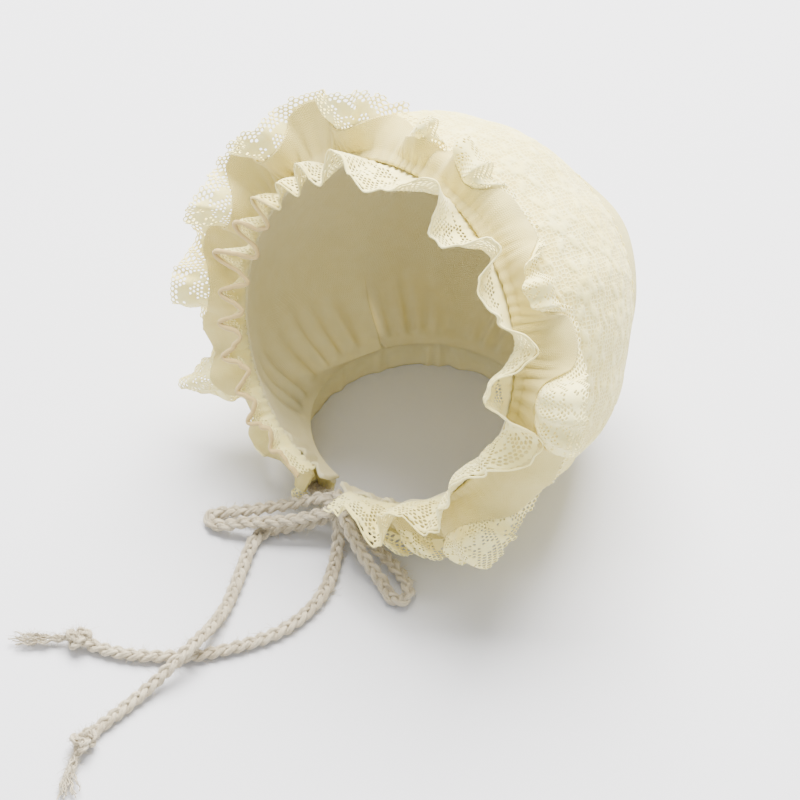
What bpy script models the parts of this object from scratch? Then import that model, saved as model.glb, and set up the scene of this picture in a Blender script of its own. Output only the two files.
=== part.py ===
"""A baby's frilled bonnet of knit and lace, tied under the chin with a cord bow.

It stands on its neck edge as it does on a table, with the face opening towards -Y and tilted up.
Lengths are in metres and +Z is up. The crown is a round shell of two panels, both worked out as
an inner and an outer skin over a round head. The frills are bands whose folds come from a table
with one row for each fold.
"""

import math

import bmesh
import bpy
import numpy as np

# The head that the bonnet fits, and how the bonnet sits on it
HEAD_RADIUS = 0.0600
HEAD_EASE = 0.0004
FACE_TILT = math.radians(22.5)
FACE_ANGLE = math.radians(63.0)
SEAM_ANGLE = math.radians(122.0)
NECK_ANGLE = math.radians(38.0)
NECK_CHIN_ANGLE = math.radians(41.0)
CHIN_SLIT = 0.0066

# The two panels of the crown
SIDE_WALL = 0.0018
BACK_WALL = 0.0014
PUFF = 0.0044
BACK_BULGE = 0.0034
FOLD_DEPTH = 0.0016
NECK_DRAW = math.radians(26.0)
GAP = 0.0003

# The casing round the neck
CASING_WALL = 0.0016
CASING_LAP = 0.0028
CASING_RISE = 0.0030
CASING_RISE_FROM = math.radians(128.0)
CASING_FLARE = 0.0012
CASING_GATHER = 0.0008
CASING_GATHERS = 17

# The wide frill
OUTER_WIDTH = 0.0345
OUTER_WALL = 0.0012
OUTER_DEPTH = 0.0072
OUTER_CURL = 0.06
OUTER_SET_BACK = 0.0018
FRILL_CHIN_GAP = 0.0145
FOLD_PINCH = 0.22
FLOOR_CLEAR = 0.0012
FLOOR_SOFTNESS = 0.0030
CROWN_SOFTNESS = 0.0005

# The narrow frill
INNER_WIDTH = 0.0160
INNER_WALL = 0.0010
INNER_DEPTH = 0.0052
INNER_CURL = 0.04

# The cord, its knots and its loose ends
CORD = 0.0045
TASSEL = 0.0036
KNOT_WIDTH = 0.0105
KNOT_HEIGHT = 0.0084
END_KNOT_WIDTH = 0.0078

# How finely each piece is faceted
SIDE_COLUMNS, SIDE_ROWS = 76, 7
BACK_COLUMNS, BACK_ROWS = 34, 7
CASING_COLUMNS = 102
OUTER_STEPS, OUTER_ROWS = 12, 5
INNER_STEPS, INNER_ROWS = 8, 3

# How full the crown is from the front edge to the back of the head.
# from_edge is a share of the angle from the edge to the back, full a share of PUFF.
CROWN_SECTIONS = (
    # from_edge, full
    (0.00, 0.00),
    (0.08, 0.30),
    (0.20, 0.80),
    (0.34, 1.00),
    (0.50, 0.90),
    (0.64, 1.20),
    (0.82, 1.35),
    (1.00, 1.30),
)

# The soft folds of the crown, each a long dent or ridge that runs back from the front edge.
# turn is the degrees round the face from the top, from_edge a share as above, width and length
# are degrees on the head, and depth a share of FOLD_DEPTH, inwards.
CROWN_FOLDS = (
    # turn, from_edge, width, length, depth
    (-118, 0.22, 7, 26, 1.0),
    (-82, 0.30, 8, 30, 0.8),
    (-44, 0.26, 7, 28, -0.7),
    (-12, 0.20, 6, 24, 0.9),
    (24, 0.28, 7, 26, 1.0),
    (52, 0.24, 6, 24, -0.8),
    (78, 0.33, 8, 30, 1.0),
    (112, 0.30, 7, 26, 0.9),
    (34, 0.70, 12, 22, -1.6),
    (-30, 0.74, 10, 24, 0.9),
    (-74, 0.66, 12, 22, -1.0),
    (80, 0.66, 10, 24, 0.8),
)

# The folds of the wide frill, from one cut end at the chin over the top to the other.
# run is a share of the way from the top to a cut end, depth a share of OUTER_DEPTH, width a share
# of OUTER_WIDTH, lean the degrees that the free edge leans back, and sweep the degrees that the
# cloth is dragged round the face.
OUTER_FOLDS = (
    # run, depth, width, lean, sweep
    (-1.000, 0.20, 0.52, 40, 0),
    (-0.875, 0.70, 0.80, 80, 0),
    (-0.755, 0.90, 0.80, 34, 0),
    (-0.615, 0.90, 0.68, -12, 3),
    (-0.465, 0.90, 0.70, -50, -3),
    (-0.313, 0.90, 0.68, -50, 0),
    (-0.157, 0.80, 0.58, 10, 0),
    (-0.030, 0.70, 0.66, 110, 0),
    (0.080, 0.80, 0.88, 112, 0),
    (0.290, 0.90, 0.84, 108, 0),
    (0.475, 1.00, 0.92, 84, 0),
    (0.755, 1.10, 0.90, 84, 0),
    (0.880, 0.80, 0.74, 66, -28),
    (1.000, 0.25, 0.80, 26, -64),
)
OUTER_ROOT_LEAN = math.radians(-6.0)

# The folds of the narrow frill, in the same columns. Its lean is outwards from the face axis.
INNER_FOLDS = (
    # run, depth, width, lean
    (-1.000, 0.15, 0.45, 10),
    (-0.928, 0.60, 0.55, -16),
    (-0.858, 0.70, 0.62, -34),
    (-0.788, 0.85, 0.66, -42),
    (-0.719, 0.90, 0.70, -44),
    (-0.649, 0.95, 0.70, -44),
    (-0.580, 1.00, 0.72, -44),
    (-0.510, 1.00, 0.72, -44),
    (-0.440, 0.95, 0.72, -44),
    (-0.371, 0.95, 0.70, -42),
    (-0.301, 0.90, 0.70, -38),
    (-0.226, 1.00, 0.78, -24),
    (-0.116, 1.10, 1.00, 0),
    (0.070, 1.30, 1.25, 22),
    (0.215, 1.15, 0.95, 50),
    (0.375, 1.30, 1.00, 60),
    (0.535, 1.30, 1.15, 96),
    (0.742, 1.00, 1.05, 30),
    (0.875, 0.90, 0.95, 22),
    (1.000, 0.25, 0.70, 26),
)

# The cord's routes, chosen by hand, in millimetres from the point on the table under the head
MM = 0.001
KNOT_CENTRE = (6.4, -48.1, 13.8)
TIE_LEFT_ROUTE = (
    (-10.6, -44.3, 7.2), (-7.8, -45.2, 8.0), (-5.0, -46.0, 9.6), (-2.6, -46.4, 11.2), (0.1, -46.5, 12.5),
)
TIE_RIGHT_ROUTE = (
    (21.2, -40.2, 6.6), (19.2, -41.6, 8.0), (17.0, -43.6, 10.2), (14.8, -45.5, 12.2), (12.5, -46.9, 13.8),
)
LOOP_LEFT_ROUTE = (
    (0.1, -50.3, 14.9), (-4.4, -52.8, 12.4), (-9.6, -56.4, 9.6), (-15.7, -61.0, 7.2),
    (-21.8, -65.4, 4.8), (-27.6, -69.4, 2.9), (-30.4, -72.6, 2.3), (-28.6, -75.2, 2.3),
    (-24.6, -74.6, 3.0), (-18.4, -70.6, 5.6), (-11.6, -66.2, 7.6), (-5.2, -60.8, 9.0),
    (0.6, -55.6, 11.2), (3.2, -53.1, 12.5),
)
LOOP_RIGHT_ROUTE = (
    (11.2, -51.6, 13.1), (15.4, -53.6, 10.6), (20.2, -54.6, 7.2), (26.0, -55.6, 4.4),
    (32.2, -57.0, 2.8), (37.6, -59.0, 2.3), (40.8, -58.0, 2.3), (40.6, -54.6, 2.3),
    (36.6, -51.2, 2.4), (31.0, -49.4, 2.7), (24.6, -48.4, 3.6), (18.6, -48.4, 5.4),
    (13.8, -49.2, 8.0),
)
TAIL_LEFT_ROUTE = (
    (1.9, -51.0, 7.6), (-1.8, -54.4, 5.0), (-6.4, -58.8, 3.0), (-10.6, -63.0, 2.3),
    (-12.4, -68.6, 2.3), (-10.4, -75.0, 2.3), (-7.0, -81.4, 2.3), (-2.6, -89.4, 2.3),
    (1.2, -97.0, 2.5), (4.6, -106.0, 4.2), (7.0, -113.0, 6.8), (8.2, -119.0, 7.9),
    (8.2, -126.0, 6.6), (7.4, -134.0, 3.6), (7.0, -142.0, 2.4), (6.8, -151.0, 2.3),
    (6.7, -159.8, 2.3),
)
TAIL_RIGHT_ROUTE = (
    (7.8, -51.6, 8.6), (9.2, -53.6, 5.2), (11.6, -57.0, 2.8), (15.4, -62.8, 2.3),
    (19.2, -69.8, 2.3), (21.4, -78.0, 2.3), (21.8, -86.8, 2.3), (19.8, -96.6, 2.3),
    (16.4, -104.2, 2.3), (12.6, -111.0, 2.3), (8.0, -118.0, 2.3), (1.8, -123.8, 2.3),
    (-6.6, -130.6, 2.3), (-13.8, -134.6, 2.3), (-18.6, -136.4, 2.3),
)
TASSEL_LEFT_ROUTE = ((9.4, -168.4, 2.0), (11.6, -172.4, 1.9), (15.0, -177.2, 1.9), (19.6, -181.0, 1.9))
TASSEL_RIGHT_ROUTE = (
    (-27.0, -140.6, 2.0), (-30.6, -143.8, 1.9), (-35.0, -148.4, 1.9), (-40.0, -152.6, 1.9),
)
END_KNOT_LEFT = (7.8, -164.1, 3.9)
END_KNOT_RIGHT = (-22.9, -138.2, 3.9)

# Colours as linear red, green and blue
LACE_CREAM = (0.88, 0.80, 0.62)
KNIT_CREAM = (0.66, 0.60, 0.40)
YARN_GREY = (0.55, 0.49, 0.41)

# Places and axes that follow from the sizes
CENTRE = np.array((0.0, 0.0, HEAD_RADIUS))
ACROSS = np.array((1.0, 0.0, 0.0))
FACE = np.array((0.0, -math.cos(FACE_TILT), math.sin(FACE_TILT)))
RISE = np.array((0.0, math.sin(FACE_TILT), math.cos(FACE_TILT)))
SKIN = HEAD_RADIUS + HEAD_EASE
EDGE_RING = SKIN * math.sin(FACE_ANGLE)


def unit(vectors):
    """The vectors at length one."""
    return vectors / np.linalg.norm(vectors, axis=-1, keepdims=True)


def ease(share):
    """A soft step from 0 to 1."""
    share = np.clip(share, 0.0, 1.0)
    return share * share * (3.0 - 2.0 * share)


def curve_through(places, values, at):
    """A smooth curve through the values at the places, read where at says."""
    places = np.asarray(places, float)
    values = np.asarray(values, float)
    slopes = np.gradient(values, places, axis=0)
    i = np.clip(np.searchsorted(places, at, side="right") - 1, 0, len(places) - 2)
    step = places[i + 1] - places[i]
    t = (at - places[i]) / step
    if values.ndim > 1:
        step, t = step[..., None], t[..., None]
    return (
        (2 * t**3 - 3 * t**2 + 1) * values[i]
        + (t**3 - 2 * t**2 + t) * step * slopes[i]
        + (3 * t**2 - 2 * t**3) * values[i + 1]
        + (t**3 - t**2) * step * slopes[i + 1]
    )


def column(table, number):
    """One column of a table as an array."""
    return np.array([row[number] for row in table], float)


def about_face(angle, turn):
    """Directions at an angle from the face axis, turned round it from the top towards +X."""
    angle, turn = np.broadcast_arrays(angle, turn)
    radial = np.sin(turn)[..., None] * ACROSS + np.cos(turn)[..., None] * RISE
    return np.cos(angle)[..., None] * FACE + np.sin(angle)[..., None] * radial


def neck_drop(azimuth):
    """The angle from straight down to the neck edge, by the azimuth from the nape."""
    towards_chin = ease(np.abs(azimuth) / math.pi)
    return NECK_ANGLE + (NECK_CHIN_ANGLE - NECK_ANGLE) * towards_chin


def about_neck(drop, azimuth):
    """Directions at an angle from straight down, by the azimuth from the nape towards +X."""
    drop, azimuth = np.broadcast_arrays(drop, azimuth)
    return np.stack(
        [np.sin(drop) * np.sin(azimuth), np.sin(drop) * np.cos(azimuth), -np.cos(drop)], axis=-1
    )


def between(first, last, share):
    """Directions a share of the way along the shortest arc from first to last."""
    angle = np.arccos(np.clip((first * last).sum(-1), -1.0, 1.0))[:, None, None]
    share = share[None, :, None]
    blend = np.sin((1 - share) * angle) * first[:, None] + np.sin(share * angle) * last[:, None]
    return unit(blend)


def fullness(directions):
    """How far the crown's cloth stands off the head in each direction."""
    from_face = np.arccos(np.clip(directions @ FACE, -1.0, 1.0))
    from_edge = (from_face - FACE_ANGLE) / (math.pi - FACE_ANGLE)
    full = PUFF * curve_through(column(CROWN_SECTIONS, 0), column(CROWN_SECTIONS, 1), from_edge)
    full = full + BACK_BULGE * ease((from_face - SEAM_ANGLE) / (math.pi - SEAM_ANGLE) * 2.2)
    for turn, place, width, length, depth in CROWN_FOLDS:
        angle = FACE_ANGLE + place * (math.pi - FACE_ANGLE)
        middle = about_face(np.array(angle), np.array(math.radians(turn)))
        along = about_face(np.array(angle + math.pi / 2), np.array(math.radians(turn)))
        side = directions @ np.cross(middle, along) / math.radians(width)
        run = directions @ along / math.radians(length)
        near = (directions @ middle > 0) * np.exp(-(side**2) - run**2)
        full = full - FOLD_DEPTH * depth * near
    azimuth = np.arctan2(directions[..., 0], directions[..., 1])
    drop = np.arccos(np.clip(-directions[..., 2], -1.0, 1.0))
    above_neck = ease((drop - neck_drop(azimuth)) / NECK_DRAW)
    behind_edge = ease(from_edge / 0.10)
    return full * above_neck * behind_edge


def seam_corner():
    """Where the seam between the panels meets the neck edge: its azimuth and its turn."""
    azimuth = math.acos(
        (-math.cos(SEAM_ANGLE) - math.cos(NECK_ANGLE) * math.sin(FACE_TILT))
        / (math.sin(NECK_ANGLE) * math.cos(FACE_TILT))
    )
    place = about_neck(neck_drop(np.array(azimuth)), np.array(azimuth))
    return azimuth, math.atan2(place @ ACROSS, place @ RISE)


def add_object(name, mesh, colour, roughness):
    """Put a mesh into the scene with a material of its own."""
    material = bpy.data.materials.new(name + "_finish")
    material.use_nodes = True
    shader = material.node_tree.nodes["Principled BSDF"]
    shader.inputs["Base Color"].default_value = (*colour, 1.0)
    shader.inputs["Roughness"].default_value = roughness
    shader.inputs["Metallic"].default_value = 0.0
    mesh.materials.append(material)
    piece = bpy.data.objects.new(name, mesh)
    bpy.context.collection.objects.link(piece)
    return piece


def cloth(name, outer, inner, colour):
    """A closed wall between two grids of points, with a rim on all four sides."""
    columns, rows = outer.shape[:2]
    number = np.arange(columns * rows).reshape(columns, rows)
    a, b = number[:-1, :-1].ravel(), number[1:, :-1].ravel()
    c, d = number[1:, 1:].ravel(), number[:-1, 1:].ravel()
    under = columns * rows
    faces = np.concatenate([np.stack([a, b, c, d], 1), np.stack([d, c, b, a], 1) + under])
    rim = np.concatenate(
        [number[:, 0], number[-1, 1:], number[-2::-1, -1], number[0, -2:0:-1], number[:1, 0]]
    )
    sides = np.stack([rim[1:], rim[:-1], rim[:-1] + under, rim[1:] + under], 1)
    mesh = bpy.data.meshes.new(name)
    points = np.concatenate([outer.reshape(-1, 3), inner.reshape(-1, 3)])
    mesh.from_pydata(points.tolist(), [], np.concatenate([faces, sides]).tolist())
    work = bmesh.new()
    work.from_mesh(mesh)
    bmesh.ops.recalc_face_normals(work, faces=work.faces)
    if work.calc_volume(signed=True) < 0:
        bmesh.ops.reverse_faces(work, faces=work.faces)
    work.to_mesh(mesh)
    work.free()
    mesh.shade_smooth()
    mesh.set_sharp_from_angle(angle=math.radians(50))
    return add_object(name, mesh, colour, 0.9)


def thicken(middle, wall):
    """The two skins of a wall that is centred on a grid of points."""
    along = np.gradient(middle, axis=0)
    across = np.gradient(middle, axis=1)
    offset = unit(np.cross(along, across)) * wall / 2
    return middle + offset, middle - offset


def panel(name, directions, wall, colour):
    """A panel of the crown, which lies over the head in the directions given."""
    inner = CENTRE + directions * (SKIN + fullness(directions))[..., None]
    outer = CENTRE + directions * (SKIN + fullness(directions) + wall)[..., None]
    return cloth(name, outer, inner, colour)


def side_panel():
    """The strip from the front edge back to the seam, and down to the neck edge at the sides."""
    corner_azimuth, corner_turn = seam_corner()
    slit = CHIN_SLIT / 2 / EDGE_RING
    neck_slit = CHIN_SLIT / 2 / (SKIN * math.sin(NECK_CHIN_ANGLE))
    turn = np.linspace(-math.pi + slit, math.pi - slit, SIDE_COLUMNS + 1)
    past = (np.abs(turn) - corner_turn) / (math.pi - slit - corner_turn)
    azimuth = corner_azimuth + np.clip(past, 0, 1) * (math.pi - neck_slit - corner_azimuth)
    azimuth = azimuth * np.sign(turn)
    seam = about_face(SEAM_ANGLE - GAP / 2 / SKIN, turn)
    neck = about_neck(neck_drop(azimuth), azimuth)
    last = np.where((past > 0)[:, None], neck, seam)
    share = np.linspace(0.0, 1.0, SIDE_ROWS + 1)
    panel("side_panel", between(about_face(FACE_ANGLE, turn), last, share), SIDE_WALL, LACE_CREAM)


def back_panel():
    """The rounded panel inside the seam, cut off by the neck edge at the nape."""
    corner_azimuth, corner_turn = seam_corner()
    run = np.linspace(-1.0, 1.0, BACK_COLUMNS + 1) * (1.0 - 1.0 / BACK_COLUMNS)
    seam = about_face(SEAM_ANGLE + GAP / 2 / SKIN, run * corner_turn)
    azimuth = run * corner_azimuth
    neck = about_neck(neck_drop(azimuth), azimuth)
    share = np.linspace(0.0, 1.0, BACK_ROWS + 1)
    panel("back_panel", between(seam, neck, share), BACK_WALL, KNIT_CREAM)


def neck_casing():
    """The band round the neck: it laps over the panels' lower edge and stands on the table."""
    radius = SKIN + max(SIDE_WALL, BACK_WALL) + GAP
    slit = CHIN_SLIT / 2 / (radius * math.sin(NECK_CHIN_ANGLE))
    azimuth = np.linspace(-math.pi + slit, math.pi - slit, CASING_COLUMNS + 1)
    drop = neck_drop(azimuth)
    lap = about_neck(drop + CASING_LAP / radius, azimuth)
    edge = about_neck(drop, azimuth)
    out = unit(edge * np.array((1.0, 1.0, 0.0)))
    rise = CASING_RISE * ease((np.abs(azimuth) - CASING_RISE_FROM) / (math.pi - CASING_RISE_FROM))
    gather = CASING_GATHER * (1.0 - np.cos(azimuth * CASING_GATHERS)) / 2

    def skin(offset):
        """One skin of the band, from its top edge down to the table."""
        top = CENTRE + lap * (radius + offset)
        bend = CENTRE + edge * (radius + offset)
        foot = bend + out * (CASING_FLARE + gather)[:, None]
        foot[:, 2] = rise
        middle = (bend + foot) / 2 + out * gather[:, None] / 2
        return np.stack([top, bend, middle, foot], axis=1)

    cloth("neck_casing", skin(CASING_WALL), skin(0.0), KNIT_CREAM)


def fold_places(folds, steps):
    """Where the columns of a frill lie: the fold count at each, and the share of the run."""
    count = np.linspace(0.0, len(folds) - 1.0, steps * (len(folds) - 1) + 1)
    rows = np.arange(len(folds))
    return count, curve_through(rows, column(folds, 0), count)


def fold_column(folds, number, count):
    """A column of a fold table, smoothed between its rows."""
    return curve_through(np.arange(len(folds)), column(folds, number), count)


def face_axes(turn):
    """Outwards from the face axis, and round it, at each turn."""
    radial = np.sin(turn)[:, None] * ACROSS + np.cos(turn)[:, None] * RISE
    around = np.cos(turn)[:, None] * ACROSS - np.sin(turn)[:, None] * RISE
    return radial, around


def clear_of(least, softness, reach):
    """How far out a point lies when it may not come nearer than least, eased in softly."""
    return least + softness * np.logaddexp(0.0, (reach - least) / softness)


def off_crown(points):
    """The points with those near or inside the crown eased out to lie on it."""
    reach = np.linalg.norm(points - CENTRE, axis=-1)
    directions = (points - CENTRE) / reach[..., None]
    least = SKIN + fullness(directions) + SIDE_WALL + GAP + OUTER_WALL / 2
    return CENTRE + directions * clear_of(least, CROWN_SOFTNESS, reach)[..., None]


def off_floor(points):
    """The points with those near or below the table bent up to lie on it."""
    lifted = points.copy()
    lifted[..., 2] = clear_of(FLOOR_CLEAR, FLOOR_SOFTNESS, points[..., 2])
    return lifted


def folded(root, start, finish, width, folds, count, depth, curl, rows):
    """The middle of a frill. It leaves its root in the start direction and bends to the finish
    direction. Its folds grow towards the free edge, and lean over as a gathered edge does."""
    across = np.linspace(0.0, 1.0, rows + 1)
    s = across[None, :, None]
    bend = (s - s * s / 2) * start[:, None] + s * s / 2 * finish[:, None]
    middle = root[:, None] + width[:, None, None] * bend
    around = unit(np.gradient(root, axis=0))
    facing = unit(np.cross(around, start + finish))
    share = fold_column(folds, 1, count)[:, None, None]
    phase = (2 * math.pi * count)[:, None, None]
    grown = across[None, :, None] ** 0.8
    wave = depth * share * (np.cos(phase) + FOLD_PINCH * np.cos(2 * phase)) * grown
    spacing = np.linalg.norm(np.gradient(root, count, axis=0), axis=1)[:, None, None]
    slip = curl * spacing * share * np.sin(2 * phase) * grown
    return middle + wave * facing[:, None] + slip * around[:, None]


def outer_frill():
    """The wide frill, sewn on just behind the front edge."""
    count, run = fold_places(OUTER_FOLDS, OUTER_STEPS)
    turn = run * (math.pi - FRILL_CHIN_GAP / 2 / EDGE_RING)
    radial, around = face_axes(turn)
    sweep = np.radians(fold_column(OUTER_FOLDS, 4, count))[:, None]
    lean = np.radians(fold_column(OUTER_FOLDS, 3, count))[:, None]
    out = np.cos(sweep) * radial + np.sin(sweep) * around
    start = math.cos(OUTER_ROOT_LEAN) * out - math.sin(OUTER_ROOT_LEAN) * FACE
    finish = np.cos(lean) * out - np.sin(lean) * FACE
    seat = SKIN + SIDE_WALL + GAP + OUTER_WALL / 2
    root = CENTRE + about_face(FACE_ANGLE + OUTER_SET_BACK / SKIN, turn) * seat
    width = OUTER_WIDTH * fold_column(OUTER_FOLDS, 2, count)
    middle = folded(
        root, start, finish, width, OUTER_FOLDS, count, OUTER_DEPTH, OUTER_CURL, OUTER_ROWS
    )
    front, back = thicken(off_floor(off_crown(middle)), OUTER_WALL)
    cloth("outer_frill", front, back, LACE_CREAM)


def inner_frill():
    """The narrow frill, which stands forward from the front edge."""
    count, run = fold_places(INNER_FOLDS, INNER_STEPS)
    turn = run * (math.pi - FRILL_CHIN_GAP / 2 / EDGE_RING)
    radial, _ = face_axes(turn)
    lean = np.radians(fold_column(INNER_FOLDS, 3, count))[:, None]
    finish = np.cos(lean) * FACE + np.sin(lean) * radial
    start = np.broadcast_to(FACE, finish.shape)
    seat = about_face(FACE_ANGLE, turn) * (SKIN + SIDE_WALL / 2)
    root = CENTRE + seat + FACE * (GAP + SIDE_WALL / 2)
    width = INNER_WIDTH * fold_column(INNER_FOLDS, 2, count)
    middle = folded(
        root, start, finish, width, INNER_FOLDS, count, -INNER_DEPTH, INNER_CURL, INNER_ROWS
    )
    front, back = thicken(middle, INNER_WALL)
    cloth("inner_frill", front, back, LACE_CREAM)


def cord(name, route, diameter, spacing):
    """A tube along a smooth curve through a route given in millimetres."""
    route = np.array(route) * MM
    places = np.concatenate([[0.0], np.cumsum(np.linalg.norm(np.diff(route, axis=0), axis=1))])
    steps = max(3, math.ceil(places[-1] / (spacing * diameter)))
    points = curve_through(places, route, np.linspace(0.0, places[-1], steps + 1))
    line = bpy.data.curves.new(name, "CURVE")
    line.dimensions = "3D"
    line.bevel_depth = diameter / 2
    line.bevel_resolution = 2
    line.use_fill_caps = True
    spline = line.splines.new("POLY")
    spline.points.add(len(points) - 1)
    for point, place in zip(spline.points, points):
        point.co = (*place, 1.0)
    return add_object(name, line, YARN_GREY, 0.95)


def knot(name, centre, width, height, turn, lumps):
    """A knot as one lumpy round body: rings whose radius swells where the cord wraps over."""
    sides, rings = 14, 9
    polar = np.linspace(0.0, math.pi, rings + 1)[1:-1]
    around = np.linspace(0.0, 2 * math.pi, sides, endpoint=False)
    swell = 1.0 + 0.10 * np.cos(lumps * around[None] + 2.2 * polar[:, None])
    x = np.cos(polar)[:, None] * width / 2 * np.ones_like(swell)
    y = np.sin(polar)[:, None] * np.cos(around)[None] * height / 2 * swell / 1.1
    z = np.sin(polar)[:, None] * np.sin(around)[None] * height / 2 * swell / 1.1
    points = np.stack([x, y, z], axis=-1).reshape(-1, 3)
    points = np.concatenate([points, [[width / 2, 0, 0], [-width / 2, 0, 0]]])
    spin = np.array(
        [[math.cos(turn), -math.sin(turn), 0], [math.sin(turn), math.cos(turn), 0], [0, 0, 1]]
    )
    points = points @ spin.T + np.array(centre) * MM
    first, last = len(points) - 2, len(points) - 1
    faces = []
    for ring in range(rings - 2):
        for side in range(sides):
            a, b = ring * sides + side, ring * sides + (side + 1) % sides
            faces.append((a, b, b + sides, a + sides))
    for side in range(sides):
        faces.append((first, (side + 1) % sides, side))
        end = (rings - 2) * sides
        faces.append((last, end + side, end + (side + 1) % sides))
    mesh = bpy.data.meshes.new(name)
    mesh.from_pydata(points.tolist(), [], faces)
    work = bmesh.new()
    work.from_mesh(mesh)
    bmesh.ops.recalc_face_normals(work, faces=work.faces)
    work.to_mesh(mesh)
    work.free()
    mesh.shade_smooth()
    return add_object(name, mesh, YARN_GREY, 0.95)


def bow():
    """The ties, the bow and the two tails with their end knots and loose yarn."""
    cord("tie_left", TIE_LEFT_ROUTE, CORD, 1.0)
    cord("tie_right", TIE_RIGHT_ROUTE, CORD, 1.0)
    cord("bow_loop_left", LOOP_LEFT_ROUTE, CORD, 1.0)
    cord("bow_loop_right", LOOP_RIGHT_ROUTE, CORD, 1.0)
    cord("tail_left", TAIL_LEFT_ROUTE, CORD, 2.0)
    cord("tail_right", TAIL_RIGHT_ROUTE, CORD, 2.0)
    cord("tassel_left", TASSEL_LEFT_ROUTE, TASSEL, 1.6)
    cord("tassel_right", TASSEL_RIGHT_ROUTE, TASSEL, 1.6)
    knot("bow_knot", KNOT_CENTRE, KNOT_WIDTH, KNOT_HEIGHT, math.radians(4), 3)
    knot("end_knot_left", END_KNOT_LEFT, END_KNOT_WIDTH, END_KNOT_WIDTH, math.radians(-76), 2)
    knot("end_knot_right", END_KNOT_RIGHT, END_KNOT_WIDTH, END_KNOT_WIDTH, math.radians(30), 2)


def centre_on_origin(cloth_names):
    """Slide everything along the table so that the box round the cloth is centred on X and Y."""
    points = np.concatenate(
        [[tuple(v.co) for v in bpy.data.objects[name].data.vertices] for name in cloth_names]
    )
    shift = -(points.min(axis=0) + points.max(axis=0)) / 2
    for piece in bpy.data.objects:
        piece.location = (shift[0], shift[1], 0.0)


def main():
    for old in list(bpy.data.objects):
        bpy.data.objects.remove(old, do_unlink=True)
    side_panel()
    back_panel()
    neck_casing()
    outer_frill()
    inner_frill()
    bow()
    centre_on_origin(("side_panel", "back_panel", "neck_casing", "outer_frill", "inner_frill"))


main()
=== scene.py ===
# %% [markdown]
# # A baby lace bonnet
# The bonnet stands on its neck edge on a pale table. It has a round crown of jersey with lace over
# it, a wide frill of jersey and lace, a narrow lace frill round the opening, and a braided yarn
# cord tied in a bow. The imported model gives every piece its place, and each piece here is worked
# out again, finer, over the same sphere and from the same fold tables.

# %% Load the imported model
import math

import bpy
import numpy as np
from mathutils import Matrix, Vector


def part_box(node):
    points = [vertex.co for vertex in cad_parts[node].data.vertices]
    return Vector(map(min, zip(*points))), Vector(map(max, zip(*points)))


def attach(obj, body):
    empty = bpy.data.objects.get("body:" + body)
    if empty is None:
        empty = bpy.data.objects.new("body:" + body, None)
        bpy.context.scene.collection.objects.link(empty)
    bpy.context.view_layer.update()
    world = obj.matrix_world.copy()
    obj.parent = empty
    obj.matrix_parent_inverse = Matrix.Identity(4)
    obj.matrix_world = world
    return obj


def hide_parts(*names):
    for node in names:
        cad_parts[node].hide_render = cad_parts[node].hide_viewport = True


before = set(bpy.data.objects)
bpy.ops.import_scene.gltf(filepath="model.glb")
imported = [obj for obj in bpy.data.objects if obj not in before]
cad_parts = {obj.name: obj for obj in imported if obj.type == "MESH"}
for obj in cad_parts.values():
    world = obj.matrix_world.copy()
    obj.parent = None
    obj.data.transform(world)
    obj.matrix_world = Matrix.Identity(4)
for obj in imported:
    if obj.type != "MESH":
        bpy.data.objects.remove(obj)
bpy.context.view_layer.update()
print("nodes in the packed model:", len(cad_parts))

# %% [markdown]
# ## Sizes that the pieces share
# The crown is drawn over a sphere 12 cm across. The front opening is a circle round one axis,
# tilted up from the table, and places on the crown are given by an angle from that axis and a turn
# round it. The source of the solids uses the same numbers, in a frame that starts under the sphere.

# %% The sphere and the opening's axis
MM = 0.001
CROWN_RADIUS = 0.0600
SKIN = CROWN_RADIUS + 0.0004
CROWN_FOOT = np.array((0.00032, -0.00564, 0.0))
CROWN_MIDDLE = CROWN_FOOT + (0.0, 0.0, CROWN_RADIUS)
FACE_TILT = math.radians(22.5)
FACE_ANGLE = math.radians(63.0)
SEAM_ANGLE = math.radians(122.0)
NECK_ANGLE, NECK_CHIN_ANGLE = math.radians(38.0), math.radians(41.0)
CHIN_SLIT = 0.0066
GAP = 0.0003
ACROSS = np.array((1.0, 0.0, 0.0))
FACE = np.array((0.0, -math.cos(FACE_TILT), math.sin(FACE_TILT)))
RISE = np.array((0.0, math.sin(FACE_TILT), math.cos(FACE_TILT)))
EDGE_RING = SKIN * math.sin(FACE_ANGLE)
SIDE_WALL, BACK_WALL = 0.0018, 0.0014
casing_low, casing_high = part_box("neck_casing")
off_middle = (casing_low.x + casing_high.x) / 2 - CROWN_FOOT[0]
print("crown off the casing's middle:", round(off_middle / MM, 3), "mm")

# %% [markdown]
# ## Camera
# The photograph looks down at 45 degrees from the bonnet's front right, through a long lens from
# 75 cm away. The sphere's middle lies at a known pixel, which fixes where the camera stands.

# %% Camera
TURN, DROP, AWAY = math.radians(42.4), math.radians(45.0), 0.750
LENS, SENSOR, PICTURE, MIDDLE_PIXEL = 104.7, 36.0, 800, (429, 318)
right = np.array((math.cos(TURN), math.sin(TURN), 0.0))
inwards = np.array((-math.sin(TURN), math.cos(TURN), 0.0))
back = np.array((0.0, 0.0, math.sin(DROP))) - inwards * math.cos(DROP)
above = np.cross(back, right)
pixel = AWAY * SENSOR / LENS / PICTURE
aside, under = MIDDLE_PIXEL[0] - PICTURE / 2, PICTURE / 2 - MIDDLE_PIXEL[1]
eye = CROWN_MIDDLE + back * AWAY - (right * aside + above * under) * pixel


def standing(axes, place):
    """The matrix of a thing at a place, whose own X, Y and Z lie along the axes."""
    return Matrix([*np.column_stack([*axes, place]).tolist(), (0, 0, 0, 1)])


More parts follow.
